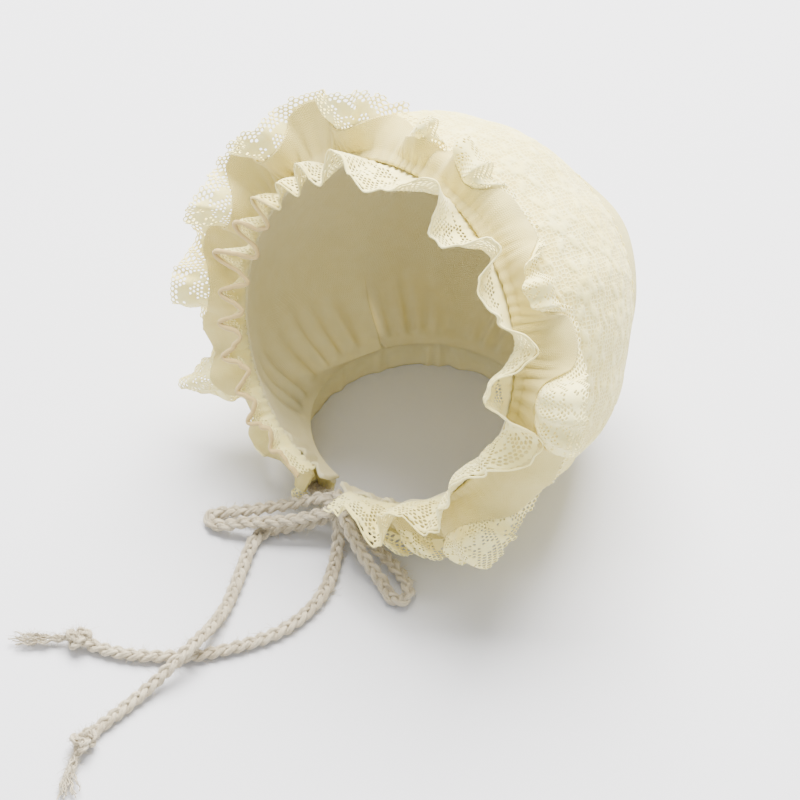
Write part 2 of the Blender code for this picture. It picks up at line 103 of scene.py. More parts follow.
camera = bpy.data.objects.new("camera", bpy.data.cameras.new("camera"))
camera.data.lens, camera.data.sensor_width, camera.data.clip_end = LENS, SENSOR, 20.0
camera.matrix_world = standing((right, above, back), eye)
bpy.context.scene.collection.objects.link(camera)
bpy.context.scene.camera = camera
print("one pixel at the crown is", round(pixel / MM, 3), "mm")

# %% [markdown]
# ## Helpers for curves and surfaces
# Every piece is a function of one or two numbers, worked out for a whole grid at once with numpy.
# A few short helpers do the smoothing, and one puts the finished grid into a Blender mesh.

# %% Curves and noise
def unit(vectors):
    """The vectors at length one."""
    return vectors / np.maximum(np.linalg.norm(vectors, axis=-1, keepdims=True), 1e-12)


def ease(share):
    """3 s squared minus 2 s cubed: a soft step from 0 to 1."""
    share = np.clip(share, 0.0, 1.0)
    return share * share * (3.0 - 2.0 * share)


def curve_through(places, values, at):
    """A cubic between each two neighbours, whose slope at each is that of the line past it."""
    places, values = np.asarray(places, float), np.asarray(values, float)
    slopes = np.gradient(values, places, axis=0)
    i = np.clip(np.searchsorted(places, at, side="right") - 1, 0, len(places) - 2)
    step = places[i + 1] - places[i]
    t = (at - places[i]) / step
    if values.ndim > 1:
        step, t = step[..., None], t[..., None]
    start = (2 * t**3 - 3 * t**2 + 1) * values[i] + (t**3 - 2 * t**2 + t) * step * slopes[i]
    end = (3 * t**2 - 2 * t**3) * values[i + 1] + (t**3 - t**2) * step * slopes[i + 1]
    return start + end


def wander(at, seed):
    """Smooth noise from -1 to 1: a curve through one seeded random value at each whole number."""
    at = np.asarray(at, float)
    low = math.floor(float(at.min())) - 1
    count = math.ceil(float(at.max())) - low + 3
    values = np.random.default_rng(seed).uniform(-1.0, 1.0, count)
    return curve_through(np.arange(count) + low, values, at)


def linear(red, green, blue):
    """A colour of the photograph, 0 to 255, as the linear light that Blender works in."""
    share = np.array((red, green, blue)) / 255.0
    lit = np.where(share <= 0.04045, share / 12.92, ((share + 0.055) / 1.055) ** 2.4)
    return (*[float(x) for x in lit], 1.0)


# %% Meshes
def add_piece(name, points, faces, finishes, uv=None, masks=(), finish_of=None):
    """A mesh from an array of points and a list of arrays of faces, one array for each corner
    count. uv and each mask hold a value for each point, and finish_of a number for each face."""
    mesh = bpy.data.meshes.new(name)
    corners = np.concatenate([group.ravel() for group in faces]).astype(np.int32)
    sizes = np.concatenate([np.full(len(group), group.shape[1]) for group in faces])
    starts = (np.cumsum(sizes) - sizes).astype(np.int32)
    mesh.vertices.add(len(points))
    mesh.vertices.foreach_set("co", np.asarray(points, np.float32).ravel())
    mesh.loops.add(len(corners))
    mesh.loops.foreach_set("vertex_index", corners)
    mesh.polygons.add(len(sizes))
    mesh.polygons.foreach_set("loop_start", starts)
    mesh.polygons.foreach_set("use_smooth", np.ones(len(sizes), bool))
    for finish in finishes:
        mesh.materials.append(finish)
    if finish_of is not None:
        mesh.polygons.foreach_set("material_index", np.asarray(finish_of, np.int32))
    mesh.update(calc_edges=True)
    if uv is not None:
        layer = mesh.uv_layers.new(name="cloth")
        layer.uv.foreach_set("vector", np.asarray(uv, np.float32)[corners].ravel())
    for mask, values in masks:
        attribute = mesh.attributes.new(mask, "FLOAT", "POINT")
        attribute.data.foreach_set("value", np.asarray(values, np.float32).ravel())
    if mesh.validate():
        print(name, "had faces that Blender took out")
    piece = bpy.data.objects.new(name, mesh)
    bpy.context.scene.collection.objects.link(piece)
    return piece


def grid_faces(columns, rows, around=False):
    """The quads of a grid of points, closed on itself over the rows if around is true."""
    number = np.arange(columns * rows).reshape(columns, rows)
    if around:
        number = np.concatenate([number, number[:, :1]], axis=1)
    corners = [number[:-1, :-1], number[1:, :-1], number[1:, 1:], number[:-1, 1:]]
    return np.stack([corner.ravel() for corner in corners], axis=1)


def wall(front, rear):
    """Two grids of points joined by a rim: the points, and the faces of front, rear and rim."""
    columns, rows = front.shape[:2]
    number = np.arange(columns * rows).reshape(columns, rows)
    under = columns * rows
    faces = grid_faces(columns, rows)
    sides = [number[:, 0], number[-1, 1:], number[-2::-1, -1], number[0, -2:0:-1], number[:1, 0]]
    rim = np.concatenate(sides)
    rim = np.stack([rim[1:], rim[:-1], rim[:-1] + under, rim[1:] + under], axis=1)
    points = np.concatenate([front.reshape(-1, 3), rear.reshape(-1, 3)])
    return points, faces, faces[:, ::-1] + under, rim


def normals(points):
    """The directions square to a grid: along the columns crossed with across the rows."""
    return unit(np.cross(np.gradient(points, axis=0), np.gradient(points, axis=1)))


def between_points(grid, column, row):
    """Places in a grid by column and row numbers that needn't be whole."""
    i = np.minimum(column.astype(int), grid.shape[0] - 2)
    j = np.minimum(row.astype(int), grid.shape[1] - 2)
    s, t = (column - i)[..., None], (row - j)[..., None]
    low = grid[i, j] * (1 - s) + grid[i + 1, j] * s
    high = grid[i, j + 1] * (1 - s) + grid[i + 1, j + 1] * s
    return low * (1 - t) + high * t


def dress(piece, slot, *nodes):
    """Let a piece ride with the part, and hide the solids of its nodes. The slot is not used."""
    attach(piece, "root")
    if nodes:
        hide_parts(*nodes)
    return piece


# %% [markdown]
# ## Finishes
# Jersey, lace and yarn are all thread. Each gets a relief that follows its own map, laid out in
# millimetres of cloth, and a soft drift of colour. The effects are node groups, so that each
# material places them with its own values. The shaders stay in the materials.

# %% Helpers for nodes
def node(tree, kind, inputs=None, **settings):
    """A new node with its settings, whose inputs are set or linked."""
    made = tree.nodes.new("ShaderNode" + kind)
    for key, value in settings.items():
        setattr(made, key, value)
    for key, value in (inputs or {}).items():
        if isinstance(value, bpy.types.NodeSocket):
            tree.links.new(value, made.inputs[key])
        else:
            made.inputs[key].default_value = value
    return made


def sums(tree, operation, first, second=0.0, third=0.0):
    """The result socket of a Math node."""
    return node(tree, "Math", {0: first, 1: second, 2: third}, operation=operation).outputs[0]


def new_group(name, inputs, outputs):
    """An empty node group: its tree, what it is given and what it gives. An input whose value is
    None is a place, and every other socket is a number."""
    tree = bpy.data.node_groups.new(name, "ShaderNodeTree")
    for label, value in inputs.items():
        kind = "NodeSocketVector" if value is None else "NodeSocketFloat"
        socket = tree.interface.new_socket(label, in_out="INPUT", socket_type=kind)
        if value is not None:
            socket.default_value = value
    for label in outputs:
        tree.interface.new_socket(label, in_out="OUTPUT", socket_type="NodeSocketFloat")
    return tree, tree.nodes.new("NodeGroupInput").outputs, tree.nodes.new("NodeGroupOutput").inputs


def place(tree, group, **inputs):
    """The outputs of a group that is placed in a material."""
    return node(tree, "Group", inputs, node_tree=group).outputs


# %% [markdown]
# ### Jersey
# The right side of jersey shows columns of small V stitches. A V is a slanted wave whose slant
# turns round in the middle of each column.

# %% The jersey group
jersey_group, given, result = new_group(
    "jersey_stitches", {"Place": None, "Wale": 0.9, "Course": 0.7}, ["Height"]
)
split = node(jersey_group, "SeparateXYZ", {0: given["Place"]}).outputs
wale = sums(jersey_group, "DIVIDE", split["X"], given["Wale"])
inside = sums(jersey_group, "SUBTRACT", sums(jersey_group, "FRACT", wale), 0.5)
arm = sums(jersey_group, "ABSOLUTE", inside)
course = sums(jersey_group, "DIVIDE", split["Y"], given["Course"])
slanted = sums(jersey_group, "MULTIPLY_ADD", arm, 1.3, course)
wave = sums(jersey_group, "SINE", sums(jersey_group, "MULTIPLY", slanted, 2 * math.pi))
column_wave = sums(jersey_group, "COSINE", sums(jersey_group, "MULTIPLY", arm, 4 * math.pi))
both = sums(jersey_group, "MULTIPLY_ADD", column_wave, -0.6, wave)
height = sums(jersey_group, "MULTIPLY_ADD", both, 0.3, 0.5)
jersey_group.links.new(height, result["Height"])

# %% [markdown]
# ### Lace
# The lace is a net with leaves and flowers worked solid in it. Where it lies flat on jersey its
# holes can't be seen through, so there the net is relief, and each hole takes the jersey's colour
# painted darker, as painted shade in the hole. The solid parts come from a mask that each piece
# carries.

# %% The lace group
lace_group, given, result = new_group(
    "lace_threads", {"Place": None, "Pitch": 1.5, "Solid": 0.0}, ["Hole", "Height"]
)
scale = sums(lace_group, "DIVIDE", 1.0, given["Pitch"])
to_thread = node(
    lace_group, "TexVoronoi", {"Vector": given["Place"], "Scale": scale, "Randomness": 0.55},
    voronoi_dimensions="2D", feature="DISTANCE_TO_EDGE",
).outputs["Distance"]
open_part = sums(lace_group, "SUBTRACT", 1.0, given["Solid"])
round_hole = node(
    lace_group, "MapRange", {"Value": to_thread, "From Min": 0.10, "From Max": 0.24},
    interpolation_type="SMOOTHSTEP",
).outputs["Result"]
hole = sums(lace_group, "MULTIPLY", round_hole, open_part)
fine = node(
    lace_group, "TexNoise",
    {"Vector": given["Place"], "Scale": 2.6, "Detail": 3.0, "Roughness": 0.6},
    noise_dimensions="2D",
).outputs["Fac"]
thread = sums(lace_group, "MULTIPLY_ADD", fine, 0.5, given["Solid"])
lace_group.links.new(hole, result["Hole"])
lace_group.links.new(sums(lace_group, "MULTIPLY_ADD", hole, -0.9, thread), result["Height"])

# %% [markdown]
# ### Drift of colour
# Natural cloth isn't one colour. Two noises of different size, read where the object is, move each
# finish a little between a lighter and a warmer shade.

# %% The drift group
drift_group, given, result = new_group(
    "colour_drift", {"Place": None, "Grain": 120.0}, ["Value"]
)
broad, small = (
    node(drift_group, "TexNoise", {"Vector": given["Place"], "Scale": scale, "Detail": detail})
    for scale, detail in ((45.0, 2.0), (given["Grain"], 3.0))
)
drift = sums(drift_group, "ADD", broad.outputs["Fac"], small.outputs["Fac"])
spread = node(drift_group, "MapRange", {"Value": drift, "From Min": 0.75, "From Max": 1.25})
drift_group.links.new(spread.outputs["Result"], result["Value"])


# %% Materials
LACE_LIGHT, LACE_WARM = linear(254, 245, 175), linear(249, 233, 145)
KNIT_LIGHT, KNIT_WARM = linear(240, 227, 150), linear(234, 218, 136)
# The lining is the same jersey painted lighter: painted light that stands in for light coming
# through the cloth onto the inside.
LINING_PAINTED_LIGHT, LINING_PAINTED_LIGHT_WARM = linear(247, 237, 190), linear(241, 229, 176)
# The frill's jersey is the crown's cloth painted darker: painted shade for the hollows of its folds.
FRILL_PAINTED_SHADE, FRILL_PAINTED_SHADE_WARM = linear(228, 213, 136), linear(220, 202, 120)
HEM_WARM = linear(198, 172, 112)
YARN_LIGHT, YARN_DARK = linear(200, 189, 164), linear(170, 157, 131)
# The colour under the lace is the jersey's, painted darker and yellower as shade in the net's holes.
UNDER_LACE_WITH_PAINTED_SHADE = linear(226, 205, 118)
NET_PITCH, NET_SHADE, JERSEY_RELIEF, LACE_RELIEF = 1.5, 0.8, 0.00026, 0.00022


def mixed(tree, factor, first, second):
    """The colour a share of the way from first to second."""
    values = {0: factor, 6: first, 7: second}
    return node(tree, "Mix", values, data_type="RGBA").outputs[2]


def new_finish(name, roughness, sheen, light, warm, grain):
    """A material with a matt, slightly downy shader: it, its tree, the shader's sockets, the places
    that its maps may read, and a colour that drifts between light and warm."""
    material = bpy.data.materials.new(name)
    material.use_nodes = True
    tree = material.node_tree
    shader = tree.nodes["Principled BSDF"].inputs
    shader["Roughness"].default_value = roughness
    shader["Specular IOR Level"].default_value = 0.25
    shader["Sheen Weight"].default_value = sheen
    shader["Sheen Roughness"].default_value = 0.5
    spots = node(tree, "TexCoord").outputs
    drifted = place(tree, drift_group, Place=spots["Object"], Grain=grain)["Value"]
    return material, tree, shader, spots, mixed(tree, drifted, warm, light)


def feed(tree, shader, colour, height, strength, depth):
    """Give the shader its colour and its relief."""
    relief = node(tree, "Bump", {"Height": height, "Strength": strength, "Distance": depth})
    tree.links.new(colour, shader["Base Color"])
    tree.links.new(relief.outputs["Normal"], shader["Normal"])


def jersey_finish(name, light, warm, wale, course):
    """Matt knitted cotton, with painted shade in the hollows between its stitches."""
    material, tree, shader, spots, colour = new_finish(name, 0.92, 0.2, light, warm, 260.0)
    height = place(tree, jersey_group, Place=spots["UV"], Wale=wale, Course=course)["Height"]
    # The stitch hollows are painted warmer and darker: painted shade.
    colour_with_painted_shade = mixed(tree, sums(tree, "MULTIPLY_ADD", height, 0.5, 0.5), warm, colour)
    feed(tree, shader, colour_with_painted_shade, height, 0.9, JERSEY_RELIEF)
    return material


def lace_finish(name, under):
    """Lace laid on another cloth, whose colour shows in the holes, painted darker there as shade in
    each hole.
    """
    finish = new_finish(name, 0.88, 0.25, LACE_LIGHT, LACE_WARM, 300.0)
    material, tree, shader, spots, colour = finish
    solid = node(tree, "Attribute", attribute_name="motif").outputs["Fac"]
    net = place(tree, lace_group, Place=spots["UV"], Pitch=NET_PITCH, Solid=solid)
    # The holes take the under colour: the jersey showing through, with painted shade.
    colour_with_painted_shade = mixed(tree, sums(tree, "MULTIPLY", net["Hole"], NET_SHADE), colour, under)
    feed(tree, shader, colour_with_painted_shade, net["Height"], 0.7, LACE_RELIEF)
    return material


def thread_finish(name, light, warm, grain, depth, stain=None):
    """Plain thread: for the net, the hem and the yarn, with fibres along and across it. A stain
    takes its colour over where the piece's mask says so."""
    material, tree, shader, spots, colour = new_finish(name, 0.9, 0.35, light, warm, grain)
    values = {"Vector": spots["Object"], "Scale": grain * 9, "Detail": 4.0, "Roughness": 0.7}
    fibres = node(tree, "TexNoise", values).outputs["Fac"]
    if stain:
        share = node(tree, "Attribute", attribute_name="beige").outputs["Fac"]
        colour = mixed(tree, share, colour, stain)
    feed(tree, shader, colour, fibres, 0.6, depth)
    return material


jersey = jersey_finish("cream_jersey", KNIT_LIGHT, KNIT_WARM, 0.9, 0.7)
# The lining's colours are painted light, lighter than the jersey, for the inner skins and rims.
lining_painted_light = jersey_finish("jersey_lining_painted_light", LINING_PAINTED_LIGHT, LINING_PAINTED_LIGHT_WARM, 0.9, 0.7)
# The frill jersey is a darker copy of the jersey: painted shade.
frill_jersey_painted_shade = jersey_finish("frill_jersey_painted_shade", FRILL_PAINTED_SHADE, FRILL_PAINTED_SHADE_WARM, 0.8, 0.65)
lace_over = lace_finish("lace_over_jersey", UNDER_LACE_WITH_PAINTED_SHADE)
lace_net = thread_finish("lace_net", LACE_LIGHT, LACE_WARM, 300.0, 0.00012)
hem_thread = thread_finish("rolled_hem", LACE_LIGHT, LACE_WARM, 320.0, 0.00012, HEM_WARM)
yarn = thread_finish("braid_yarn", YARN_LIGHT, YARN_DARK, 420.0, 0.00018)

# %% [markdown]
# ## The cord
# The bow is tied from one flat braid of three strands, and each strand is a twist of three soft
# plies. A braided strand swings across the cord as sin(t) and over and under as sin(2t), a third
# of a turn behind its neighbour. The routes are those of the solids, in millimetres.

# %% Cord routes
CORD, KNOT_CORD, END_KNOT_CORD, END_KNOT = 0.0045, 0.0040, 0.0032, 0.0028
BRAID_PITCH, PLY_PITCH, BRAID_STEP = 0.0126, 0.0105, 0.00045
STRAND, HUMP = 0.215, 0.15  # a strand's radius and its rise over its neighbour, of the cord's width
PLY_OUT, PLY = 0.40, 0.66  # a ply's place and radius, of its strand's radius
TIE_DRAWN = 0.45  # a tie's width where it goes into the casing, of its full width
FIBRE, CORD_FIBRE, FIBRES_A_STEP = 0.00006, 0.0023, 7
YARN, YARNS, YARN_FAN, YARN_FIBRE, YARN_FIBRES = 0.00034, 16, 0.0030, 0.0026, 420
YARN_CRIMP, YARN_LOWEST = 0.00035, 0.00035
TIE_LEFT = (
    (-10.6, -44.3, 7.2), (-7.8, -45.2, 8.0), (-5.0, -46.0, 9.6), (-2.6, -46.4, 11.2),
    (0.1, -46.5, 12.5),
)
TIE_RIGHT = (
    (21.2, -40.2, 6.6), (19.2, -41.6, 8.0), (17.0, -43.6, 10.2), (14.8, -45.5, 12.2),
    (12.5, -46.9, 13.8),
)
LOOP_LEFT = (
    (0.1, -50.3, 14.9), (-4.4, -52.8, 12.4), (-9.6, -56.4, 9.6), (-15.7, -61.0, 7.2),
    (-21.8, -65.4, 4.8), (-27.6, -69.4, 2.9), (-30.4, -72.6, 2.3), (-28.6, -75.2, 2.3),
    (-24.6, -74.6, 3.0), (-18.4, -70.6, 5.6), (-11.6, -66.2, 7.6), (-5.2, -60.8, 9.0),
    (0.6, -55.6, 11.2), (3.2, -53.1, 12.5),
)
LOOP_RIGHT = (
    (11.2, -51.6, 13.1), (15.4, -53.6, 10.6), (20.2, -54.6, 7.2), (26.0, -55.6, 4.4),
    (32.2, -57.0, 2.8), (37.6, -59.0, 2.3), (40.8, -58.0, 2.3), (40.6, -54.6, 2.3),
    (36.6, -51.2, 2.4), (31.0, -49.4, 2.7), (24.6, -48.4, 3.6), (18.6, -48.4, 5.4),
    (13.8, -49.2, 8.0),
)
TAIL_LEFT = (
    (1.9, -51.0, 7.6), (-1.8, -54.4, 5.0), (-6.4, -58.8, 3.0), (-10.6, -63.0, 2.3),
    (-12.4, -68.6, 2.3), (-10.4, -75.0, 2.3), (-7.0, -81.4, 2.3), (-2.6, -89.4, 2.3),
    (1.2, -97.0, 2.5), (4.6, -106.0, 4.2), (7.0, -113.0, 6.8), (8.2, -119.0, 7.9),
    (8.2, -126.0, 6.6), (7.4, -134.0, 3.6), (7.0, -142.0, 2.4), (6.8, -151.0, 2.3),
    (6.7, -159.8, 2.3),
)
TAIL_RIGHT = (
    (7.8, -51.6, 8.6), (9.2, -53.6, 5.2), (11.6, -57.0, 2.8), (15.4, -62.8, 2.3),
    (19.2, -69.8, 2.3), (21.4, -78.0, 2.3), (21.8, -86.8, 2.3), (19.8, -96.6, 2.3),
    (16.4, -104.2, 2.3), (12.6, -111.0, 2.3), (8.0, -118.0, 2.3), (1.8, -123.8, 2.3),
    (-6.6, -130.6, 2.3), (-13.8, -134.6, 2.3), (-18.6, -136.4, 2.3),
)
TASSEL_LEFT = ((9.4, -168.4, 2.0), (11.6, -172.4, 1.9), (15.0, -177.2, 1.9), (19.6, -181.0, 1.9))
TASSEL_RIGHT = (
    (-27.0, -140.6, 2.0), (-30.6, -143.8, 1.9), (-35.0, -148.4, 1.9), (-40.0, -152.6, 1.9),
)
KNOT_CENTRE = (6.4, -48.1, 13.8)
END_KNOT_LEFT, END_KNOT_RIGHT = (7.8, -164.1, 3.9), (-22.9, -138.2, 3.9)


def laid_out(route):
    """A route in metres, where the solids have it."""
    return np.array(route) * MM + CROWN_FOOT


# %% Threads along paths
def resampled(points, step):
    """The smooth curve through the points, in even steps: its points and the lengths to them."""
    points = np.asarray(points)
    far = np.concatenate([[0.0], np.cumsum(np.linalg.norm(np.diff(points, axis=0), axis=1))])
    count = max(4, math.ceil(far[-1] / step)) + 1
    lengths = np.linspace(0.0, far[-1], count)
    return curve_through(far, points, lengths), lengths


def side_and_lift(paths):
    """Two directions square to a path: sideways, level with the table, and upwards."""
    ahead = unit(np.gradient(paths, axis=-2))
    side = unit(np.cross(ahead, (0.0, 0.0, 1.0)) + 1e-9)
    return side, np.cross(side, ahead)


def threads(paths, radius, sides):
    """Rings of points round every path, closed at both ends: the points, the quads of the sides
    and the caps. paths has one row of points for each thread."""
    count, length = paths.shape[:2]
    side, lift = side_and_lift(paths)
    angle = np.linspace(0.0, 2 * math.pi, sides, endpoint=False)[:, None]
    ring = side[:, :, None] * np.cos(angle) + lift[:, :, None] * np.sin(angle)
    thick = np.broadcast_to(radius, (count, length))[..., None, None]
    points = (paths[:, :, None] + thick * ring).reshape(-1, 3)
    first = np.arange(count)[:, None, None] * length * sides
    quads = (grid_faces(length, sides, around=True)[None] + first).reshape(-1, 4)
    cap = np.arange(sides)[None] + first[:, 0]
    caps = np.concatenate([cap, cap[:, ::-1] + (length - 1) * sides])
    return points, quads, caps


def add_threads(name, slot, finish, paths, radius, sides, *nodes, masks=()):
    """Threads along paths, as one piece."""
    points, quads, caps = threads(paths, radius, sides)
    return dress(add_piece(name, points, [quads, caps], [finish], masks=masks), slot, *nodes)


def braid(points, width, pitch=BRAID_PITCH, thin_start=1.0):
    """The nine plies of a flat braid along a curve. Strand k lies at side * a sin(t + k/3) and
    lift * b sin(2(t + k/3)), and its plies turn round it. thin_start is its width at the start as
    a share of the rest, where it goes into a channel."""
    path, lengths = resampled(points, BRAID_STEP)
    side, lift = side_and_lift(path)
    drawn_in = (thin_start + (1 - thin_start) * ease(lengths / 0.004))[:, None]
    strand, hump = width * STRAND * drawn_in, width * HUMP * drawn_in
    swing = width / 2 * drawn_in - strand
    wobble = 1.0 + 0.14 * wander(lengths / 0.007, 7)[:, None]
    swing = swing * (1.0 + 0.10 * wander(lengths / 0.011, 8)[:, None])
    plies = []
    for k in range(3):
        t = 2 * math.pi * (lengths / pitch + k / 3)[:, None]
        middle = path + side * swing * np.sin(t) + lift * hump * np.sin(2 * t)
        for m in range(3):
            twist = (2 * math.pi * (lengths / PLY_PITCH + m / 3) + k)[:, None]
            ply = side * np.cos(twist) + lift * np.sin(twist)
            plies.append(middle + ply * strand * PLY_OUT * wobble)
    return np.stack(plies), strand[:, 0] * PLY


def add_down(name, slot, plies, thick, count, reach, seed):
    """Loose fibres: each starts on the skin of a ply, leans along it and curls away from it."""
    chance = np.random.default_rng(seed)
    thread = chance.integers(0, plies.shape[0], count)
    start = chance.integers(1, plies.shape[1] - 1, count)
    ahead = unit(plies[thread, start + 1] - plies[thread, start])
    away = unit(chance.normal(size=(count, 3)) + (0.0, 0.0, 0.5))
    bend = unit(chance.normal(size=(count, 3)))
    t = np.linspace(0.0, 1.0, 4)[None, :, None]
    long = reach * chance.uniform(0.45, 1.1, count)[:, None, None]
    lean = np.sign(chance.uniform(-1, 1, count))[:, None, None] * ahead[:, None]
    skin = 0.8 * np.broadcast_to(thick, plies.shape[1])[start][:, None]
    curl = t * (0.8 * lean + 0.7 * away[:, None]) + t * t * 0.6 * bend[:, None]
    paths = (plies[thread, start] + skin * away)[:, None] + long * curl
    paths[..., 2] = np.maximum(paths[..., 2], 1.5 * FIBRE)
    taper = FIBRE * np.linspace(1.0, 0.45, 4)[None]
    return add_threads(name + "_down", slot, yarn, paths, taper, 3)


def add_cord(name, route, width, cadnode, seed, **options):
    """A braid along a route of its own, and its loose fibres as a second piece."""
    plies, thick = braid(route, width, **options)
    count = FIBRES_A_STEP * plies.shape[1]
    piece = add_threads(name, "cord", yarn, plies, thick, 6, cadnode)
    return piece, add_down(name, "cord", plies, thick, count, CORD_FIBRE, seed)


# %% Ties, loops and tails
heart = laid_out([KNOT_CENTRE])[0]


def drawn_on(route, before, after, share_before=0.5, share_after=0.5):
    """A route that goes on past both of its ends, a share of the way to the place before it and
    of the way to the place after it, where the other piece hides the cut."""
    route, (before, after) = laid_out(route), laid_out([before, after])
    first = route[0] + (before - route[0]) * share_before
    last = route[-1] + (after - route[-1]) * share_after
    return np.vstack([first, route, last])


CASING_LEFT, CASING_RIGHT = (-12.2, -40.9, 6.6), (23.0, -35.8, 6.0)
ROUTES = {
    # piece: its whole route with its ends hidden, and the solid that it stands for
    "cord_tie_left": (drawn_on(TIE_LEFT, CASING_LEFT, KNOT_CENTRE, 1.0, 0.4), "tie_left"),
    "cord_tie_right": (drawn_on(TIE_RIGHT, CASING_RIGHT, KNOT_CENTRE, 1.0, 0.4), "tie_right"),
    "cord_loop_left": (drawn_on(LOOP_LEFT, KNOT_CENTRE, KNOT_CENTRE), "bow_loop_left"),
    "cord_loop_right": (drawn_on(LOOP_RIGHT, KNOT_CENTRE, KNOT_CENTRE), "bow_loop_right"),
    "cord_tail_left": (drawn_on(TAIL_LEFT, KNOT_CENTRE, END_KNOT_LEFT, 0.5, 0.6), "tail_left"),
    "cord_tail_right": (drawn_on(TAIL_RIGHT, KNOT_CENTRE, END_KNOT_RIGHT, 0.5, 0.6), "tail_right"),
}
cords = {
    name: add_cord(
        name, route, CORD, cadnode, 11 + number, thin_start=TIE_DRAWN if "tie" in name else 1.0
    )
    for number, (name, (route, cadnode)) in enumerate(ROUTES.items())
}

# %% [markdown]
# ### The knots
# The bow's knot is the cord wrapped about its own middle, a short coil round the line from loop to
# loop. An overhand knot drawn tight is close to a trefoil: sin t + 2 sin 2t against
# cos t - 2 cos 2t, with sin 3t for the overs and unders.

# %% Knots
def wrap_route(turns, radius, spread):
    """A coil round X: x runs evenly over spread while y and z turn round it."""
    t = np.linspace(-0.5, 0.5, 40)
    angle = 2 * math.pi * turns * t + math.pi / 2
    coil = np.stack([spread * t, -radius * np.cos(angle), radius * np.sin(angle)], axis=1)
    return heart + coil


def overhand_route(centre, size, turn, lead):
    """A trefoil with its middle at centre, turned about Z, that starts towards the cord."""
    t = np.linspace(0.0, 2 * math.pi, 60) + lead
    x, y = np.sin(t) + 2 * np.sin(2 * t), np.cos(t) - 2 * np.cos(2 * t)
    points = np.stack([x * 1.15, y, -1.5 * np.sin(3 * t)], axis=1) * size / 3
    cos, sin = math.cos(turn), math.sin(turn)
    return laid_out([centre])[0] + points @ np.array([[cos, sin, 0], [-sin, cos, 0], [0, 0, 1]])


bow_knot = add_cord(
    "cord_bow_knot", wrap_route(turns=2.1, radius=0.0026, spread=0.0066), KNOT_CORD, "bow_knot", 17,
    pitch=0.008,
)
end_left, end_right = (
    add_cord(
        "cord_" + cadnode, overhand_route(centre, END_KNOT, math.radians(turn), lead),
        END_KNOT_CORD, cadnode, seed, pitch=0.0075,
    )
    for cadnode, centre, turn, lead, seed in (
        ("end_knot_left", END_KNOT_LEFT, -76, 0.3, 18),
        ("end_knot_right", END_KNOT_RIGHT, 30, 0.9, 19),
    )
)


# %% Loose yarn past the end knots
def tassel_plies(route, start, seed):
    """Unbraided yarns that leave the knot together and fan out, each with a crimp of its own."""
    chance = np.random.default_rng(seed)
    path, lengths = resampled(laid_out([start, *route]), 0.0006)
    share = lengths / lengths[-1]
    side, lift = side_and_lift(path)
    yarns = []
    for k in range(YARNS):
        sway, rise = chance.uniform(-1, 1), chance.uniform(0.0, 1.0)
        crimp = YARN_CRIMP * np.sin(2 * math.pi * lengths / chance.uniform(0.004, 0.006) + k)
        fan = YARN_FAN * sway * share**1.3 + 0.0006 * wander(lengths / 0.006, seed + k) * share
        up = (0.0016 * rise - 0.0006) * (0.4 + 0.6 * (1 - share)) + 0.3 * crimp
        end = path[0] + (path - path[0]) * chance.uniform(0.72, 1.0)
        yarns.append(end + side * (fan + crimp)[:, None] + lift * up[:, None])
    yarns = np.stack(yarns)
    yarns[..., 2] = np.maximum(yarns[..., 2], YARN_LOWEST)
    return yarns


def add_tassel(name, route, start, seed, cadnode):
    """Thin yarns and their fibres."""
    plies = tassel_plies(route, start, seed)
    taper = YARN * np.linspace(1.0, 0.55, plies.shape[1])[None]
    piece = add_threads(name, "loose_yarn", yarn, plies, taper, 5, cadnode)
    return piece, add_down(name, "loose_yarn", plies, YARN, YARN_FIBRES, YARN_FIBRE, seed)


tassel_left = add_tassel("loose_yarn_left", TASSEL_LEFT, END_KNOT_LEFT, 31, "tassel_left")
tassel_right = add_tassel("loose_yarn_right", TASSEL_RIGHT, END_KNOT_RIGHT, 32, "tassel_right")

# %% [markdown]
# Each tail ends in its knot and loose yarn, and each loop goes back into the bow's knot.

# %% [markdown]
# ## The crown
# The crown is cut in two: a strip from side to side over the top, jersey with lace laid over it,
# and a rounded panel of plain jersey at the back. Both are skins that stand off the sphere by a
# fullness: sections from front to back, with long soft dents and ridges added.

# %% Directions from the sphere's middle
PUFF, BACK_BULGE, FOLD_DEPTH, NECK_DRAW = 0.0044, 0.0034, 0.0016, math.radians(26.0)
SEAM_LAP, BACK_REACH, EDGE_DRAW = 0.0002, 33 / 34, 0.10
CROWN_SECTIONS = np.array((
    # share of the way from the front edge to the back, fullness as a share of PUFF
    (0.00, 0.00), (0.08, 0.30), (0.20, 0.80), (0.34, 1.00), (0.50, 0.90), (0.64, 1.20), (0.82, 1.35),
    (1.00, 1.30),
))
CROWN_FOLDS = (
    # turn from the top in degrees, share from the edge, width, length, depth
    (-118, 0.22, 7, 26, 1.0), (-82, 0.30, 8, 30, 0.8), (-44, 0.26, 7, 28, -0.7),
    (-12, 0.20, 6, 24, 0.9), (24, 0.28, 7, 26, 1.0), (52, 0.24, 6, 24, -0.8),
    (78, 0.33, 8, 30, 1.0), (112, 0.30, 7, 26, 0.9), (34, 0.70, 12, 22, -1.6),
    (-30, 0.74, 10, 24, 0.9), (-74, 0.66, 12, 22, -1.0), (80, 0.66, 10, 24, 0.8),
)


def outward(turn):
    """Directions square to the opening's axis, turned round it from the top towards +X."""
    return np.sin(turn)[..., None] * ACROSS + np.cos(turn)[..., None] * RISE


def about_face(angle, turn):
    """Directions at an angle from the opening's axis, turned round it."""
    angle, turn = np.broadcast_arrays(angle, turn)
    return np.cos(angle)[..., None] * FACE + np.sin(angle)[..., None] * outward(turn)


def neck_drop(azimuth):
    """The angle from straight down to the neck edge, by the azimuth from the back."""
    return NECK_ANGLE + (NECK_CHIN_ANGLE - NECK_ANGLE) * ease(np.abs(azimuth) / math.pi)


